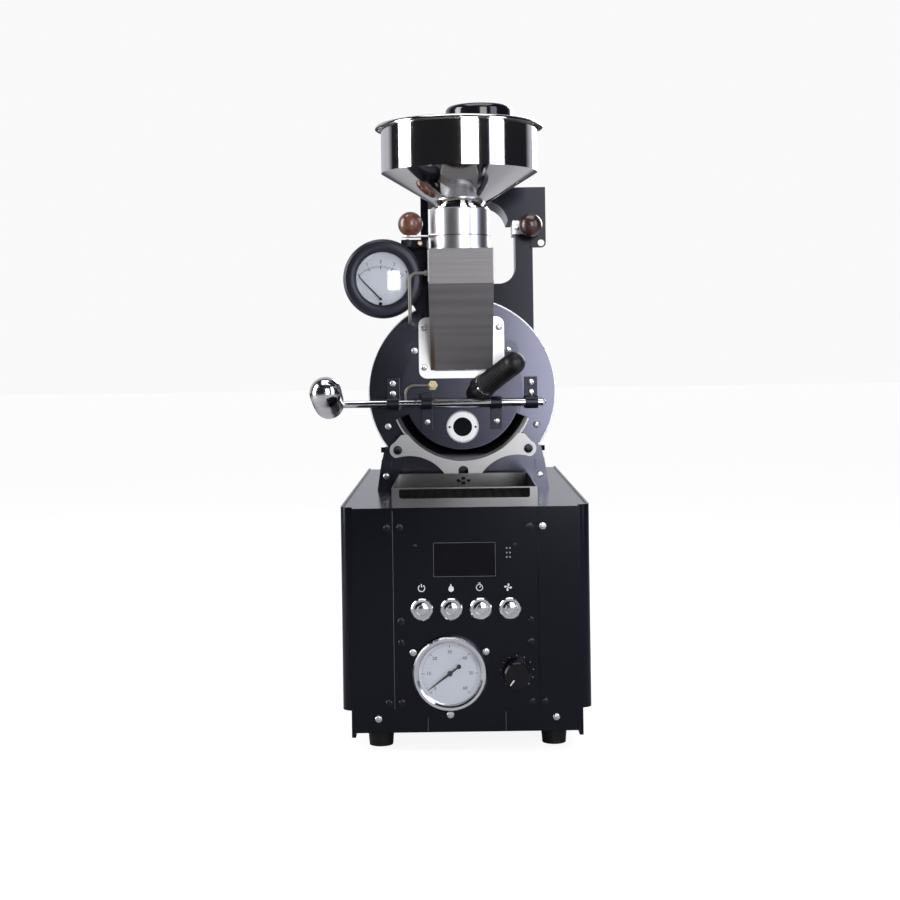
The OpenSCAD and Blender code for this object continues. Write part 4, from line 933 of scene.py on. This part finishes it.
floor_in, floor_out, rim_out, pins_out = -10, -6, 0.8, -0.8
for name, corners, low, high in (
        ("inlet_body", (-13.6, -9.6, 13.6, 9.6), floor_in, floor_out),
        ("inlet_side_0", (-13.6, -9.6, -11.5, 9.6), floor_out, rim_out),
        ("inlet_side_1", (11.5, -9.6, 13.6, 9.6), floor_out, rim_out),
        ("inlet_ledge_0", (-11.5, -9.6, 11.5, -7.5), floor_out, rim_out),
        ("inlet_ledge_1", (-11.5, 7.5, 11.5, 9.6), floor_out, rim_out)):
    solid(name, *prism([rectangle(*corners)], low, high, on_inlet), inlet_black, "root",
          "black_plastic")
pins = [rectangle(x - 1, z - 2.2, x + 1, z + 2.2) for x, z in ((-6.5, -1.5), (0, 2), (6.5, -1.5))]
solid("inlet_pins", *prism(pins, floor_out, pins_out, on_inlet), brass, "root", "brass")

# ---- Studio ----
# A pale glowing floor, tall soft lights round the machine, and a small one that glints in the
# draught gauge's glass. The camera stands straight in front, a little above the middle.

floor_white = finish("floor_white", (0.13, 0.13, 0.13), (0.14, 0.14, 0.14), 0.0, 0.7)
fn, flink = floor_white.node_tree.nodes, floor_white.node_tree.links.new
glow = fn["Principled BSDF"]
glow.inputs["Emission Color"].default_value = (1, 1, 1, 1)
glow.inputs["Emission Strength"].default_value = 0.90
# The pale floor glows for the camera, and is a mid grey in the machine's reflections
dull, floor_ray, floor_mix = (fn.new("ShaderNodeBsdfDiffuse"), fn.new("ShaderNodeLightPath"),
                              fn.new("ShaderNodeMixShader"))
dull.inputs["Color"].default_value = (0.48, 0.48, 0.50, 1)
flink(floor_ray.outputs["Is Camera Ray"], floor_mix.inputs["Fac"])
flink(dull.outputs["BSDF"], floor_mix.inputs[1])
flink(glow.outputs["BSDF"], floor_mix.inputs[2])
flink(floor_mix.outputs["Shader"], fn["Material Output"].inputs["Surface"])
floor = bpy.data.objects.new("floor", bpy.data.meshes.new("floor"))
floor.data.from_pydata([(-9, -5, 0), (9, -5, 0), (9, 16, 0), (-9, 16, 0)], [], [(0, 1, 2, 3)])
floor.data.materials.append(floor_white)
bpy.context.scene.collection.objects.link(floor)


def softbox(name, turn, distance, height, size, power, colour=(1, 1, 1)):
    """A soft light that faces the machine, turned to the right of the camera's side."""
    lamp = bpy.data.lights.new(name, "AREA")
    lamp.color = colour
    lamp.shape, lamp.size, lamp.size_y, lamp.energy = "RECTANGLE", size[0], size[1], power
    holder = bpy.data.objects.new(name, lamp)
    turn = math.radians(turn)
    at = Vector((distance * math.sin(turn), -distance * math.cos(turn), height))
    holder.location = at
    holder.rotation_euler = (Vector((0, 0, height * 0.7)) - at).to_track_quat("-Z", "Y").to_euler()
    bpy.context.scene.collection.objects.link(holder)


softbox("light_left", -80, 1.5, 0.85, (0.6, 1.5), 26)
softbox("light_right", 52, 1.6, 0.85, (0.62, 1.5), 10, (0.80, 0.85, 1.0))
softbox("light_front", 15, 2.3, 0.85, (0.9, 1.5), 26)
softbox("light_back", 150, 1.7, 1.1, (1.2, 1.0), 20)
softbox("light_top", 0, 0.2, 2.0, (1.4, 1.2), 16)
softbox("light_glare", -3.37, 2.158, 0.573, (0.028, 0.044), 0.07)

world = bpy.data.worlds.new("studio")
bpy.context.scene.world = world
world.use_nodes = True
wn, wlink = world.node_tree.nodes, world.node_tree.links.new
seen, around, ray, mix = (wn.new("ShaderNodeBackground"), wn["Background"],
                          wn.new("ShaderNodeLightPath"), wn.new("ShaderNodeMixShader"))
seen.inputs["Color"].default_value = (1, 1, 1, 1)
seen.inputs["Strength"].default_value = 0.95
around.inputs["Color"].default_value = (0.9, 0.9, 1.0, 1)
# Dark towards the camera's side and bright behind the machine, as in front of a lit backdrop
direction, apart, backdrop = (wn.new("ShaderNodeTexCoord"), wn.new("ShaderNodeSeparateXYZ"),
                              wn.new("ShaderNodeMapRange"))
for socket, value in (("From Min", 0.42), ("From Max", 0.62), ("To Min", 0.02), ("To Max", 0.7)):
    backdrop.inputs[socket].default_value = value
wlink(direction.outputs["Generated"], apart.inputs["Vector"])
wlink(apart.outputs["Y"], backdrop.inputs["Value"])
wlink(backdrop.outputs["Result"], around.inputs["Strength"])
wlink(ray.outputs["Is Camera Ray"], mix.inputs["Fac"])
wlink(around.outputs["Background"], mix.inputs[1])
wlink(seen.outputs["Background"], mix.inputs[2])
wlink(mix.outputs["Shader"], wn["World Output"].inputs["Surface"])

# The camera: its place in metres, its lens and sensor in millimetres, and a slight roll
camera_at, lens, sensor, roll = (0.0132, -1.8205, 0.396), 62, 36, math.radians(-0.8)
camera = bpy.data.objects.new("camera", bpy.data.cameras.new("camera"))
camera.data.lens, camera.data.sensor_width = lens, sensor
camera.data.shift_x, camera.data.shift_y = -0.0049, -0.1062
camera.location = camera_at
camera.rotation_euler = (Matrix.Rotation(math.pi / 2, 3, "X")
                         @ Matrix.Rotation(roll, 3, "Z")).to_euler()
bpy.context.scene.collection.objects.link(camera)
bpy.context.scene.camera = camera
bpy.context.scene.view_settings.view_transform = "Standard"
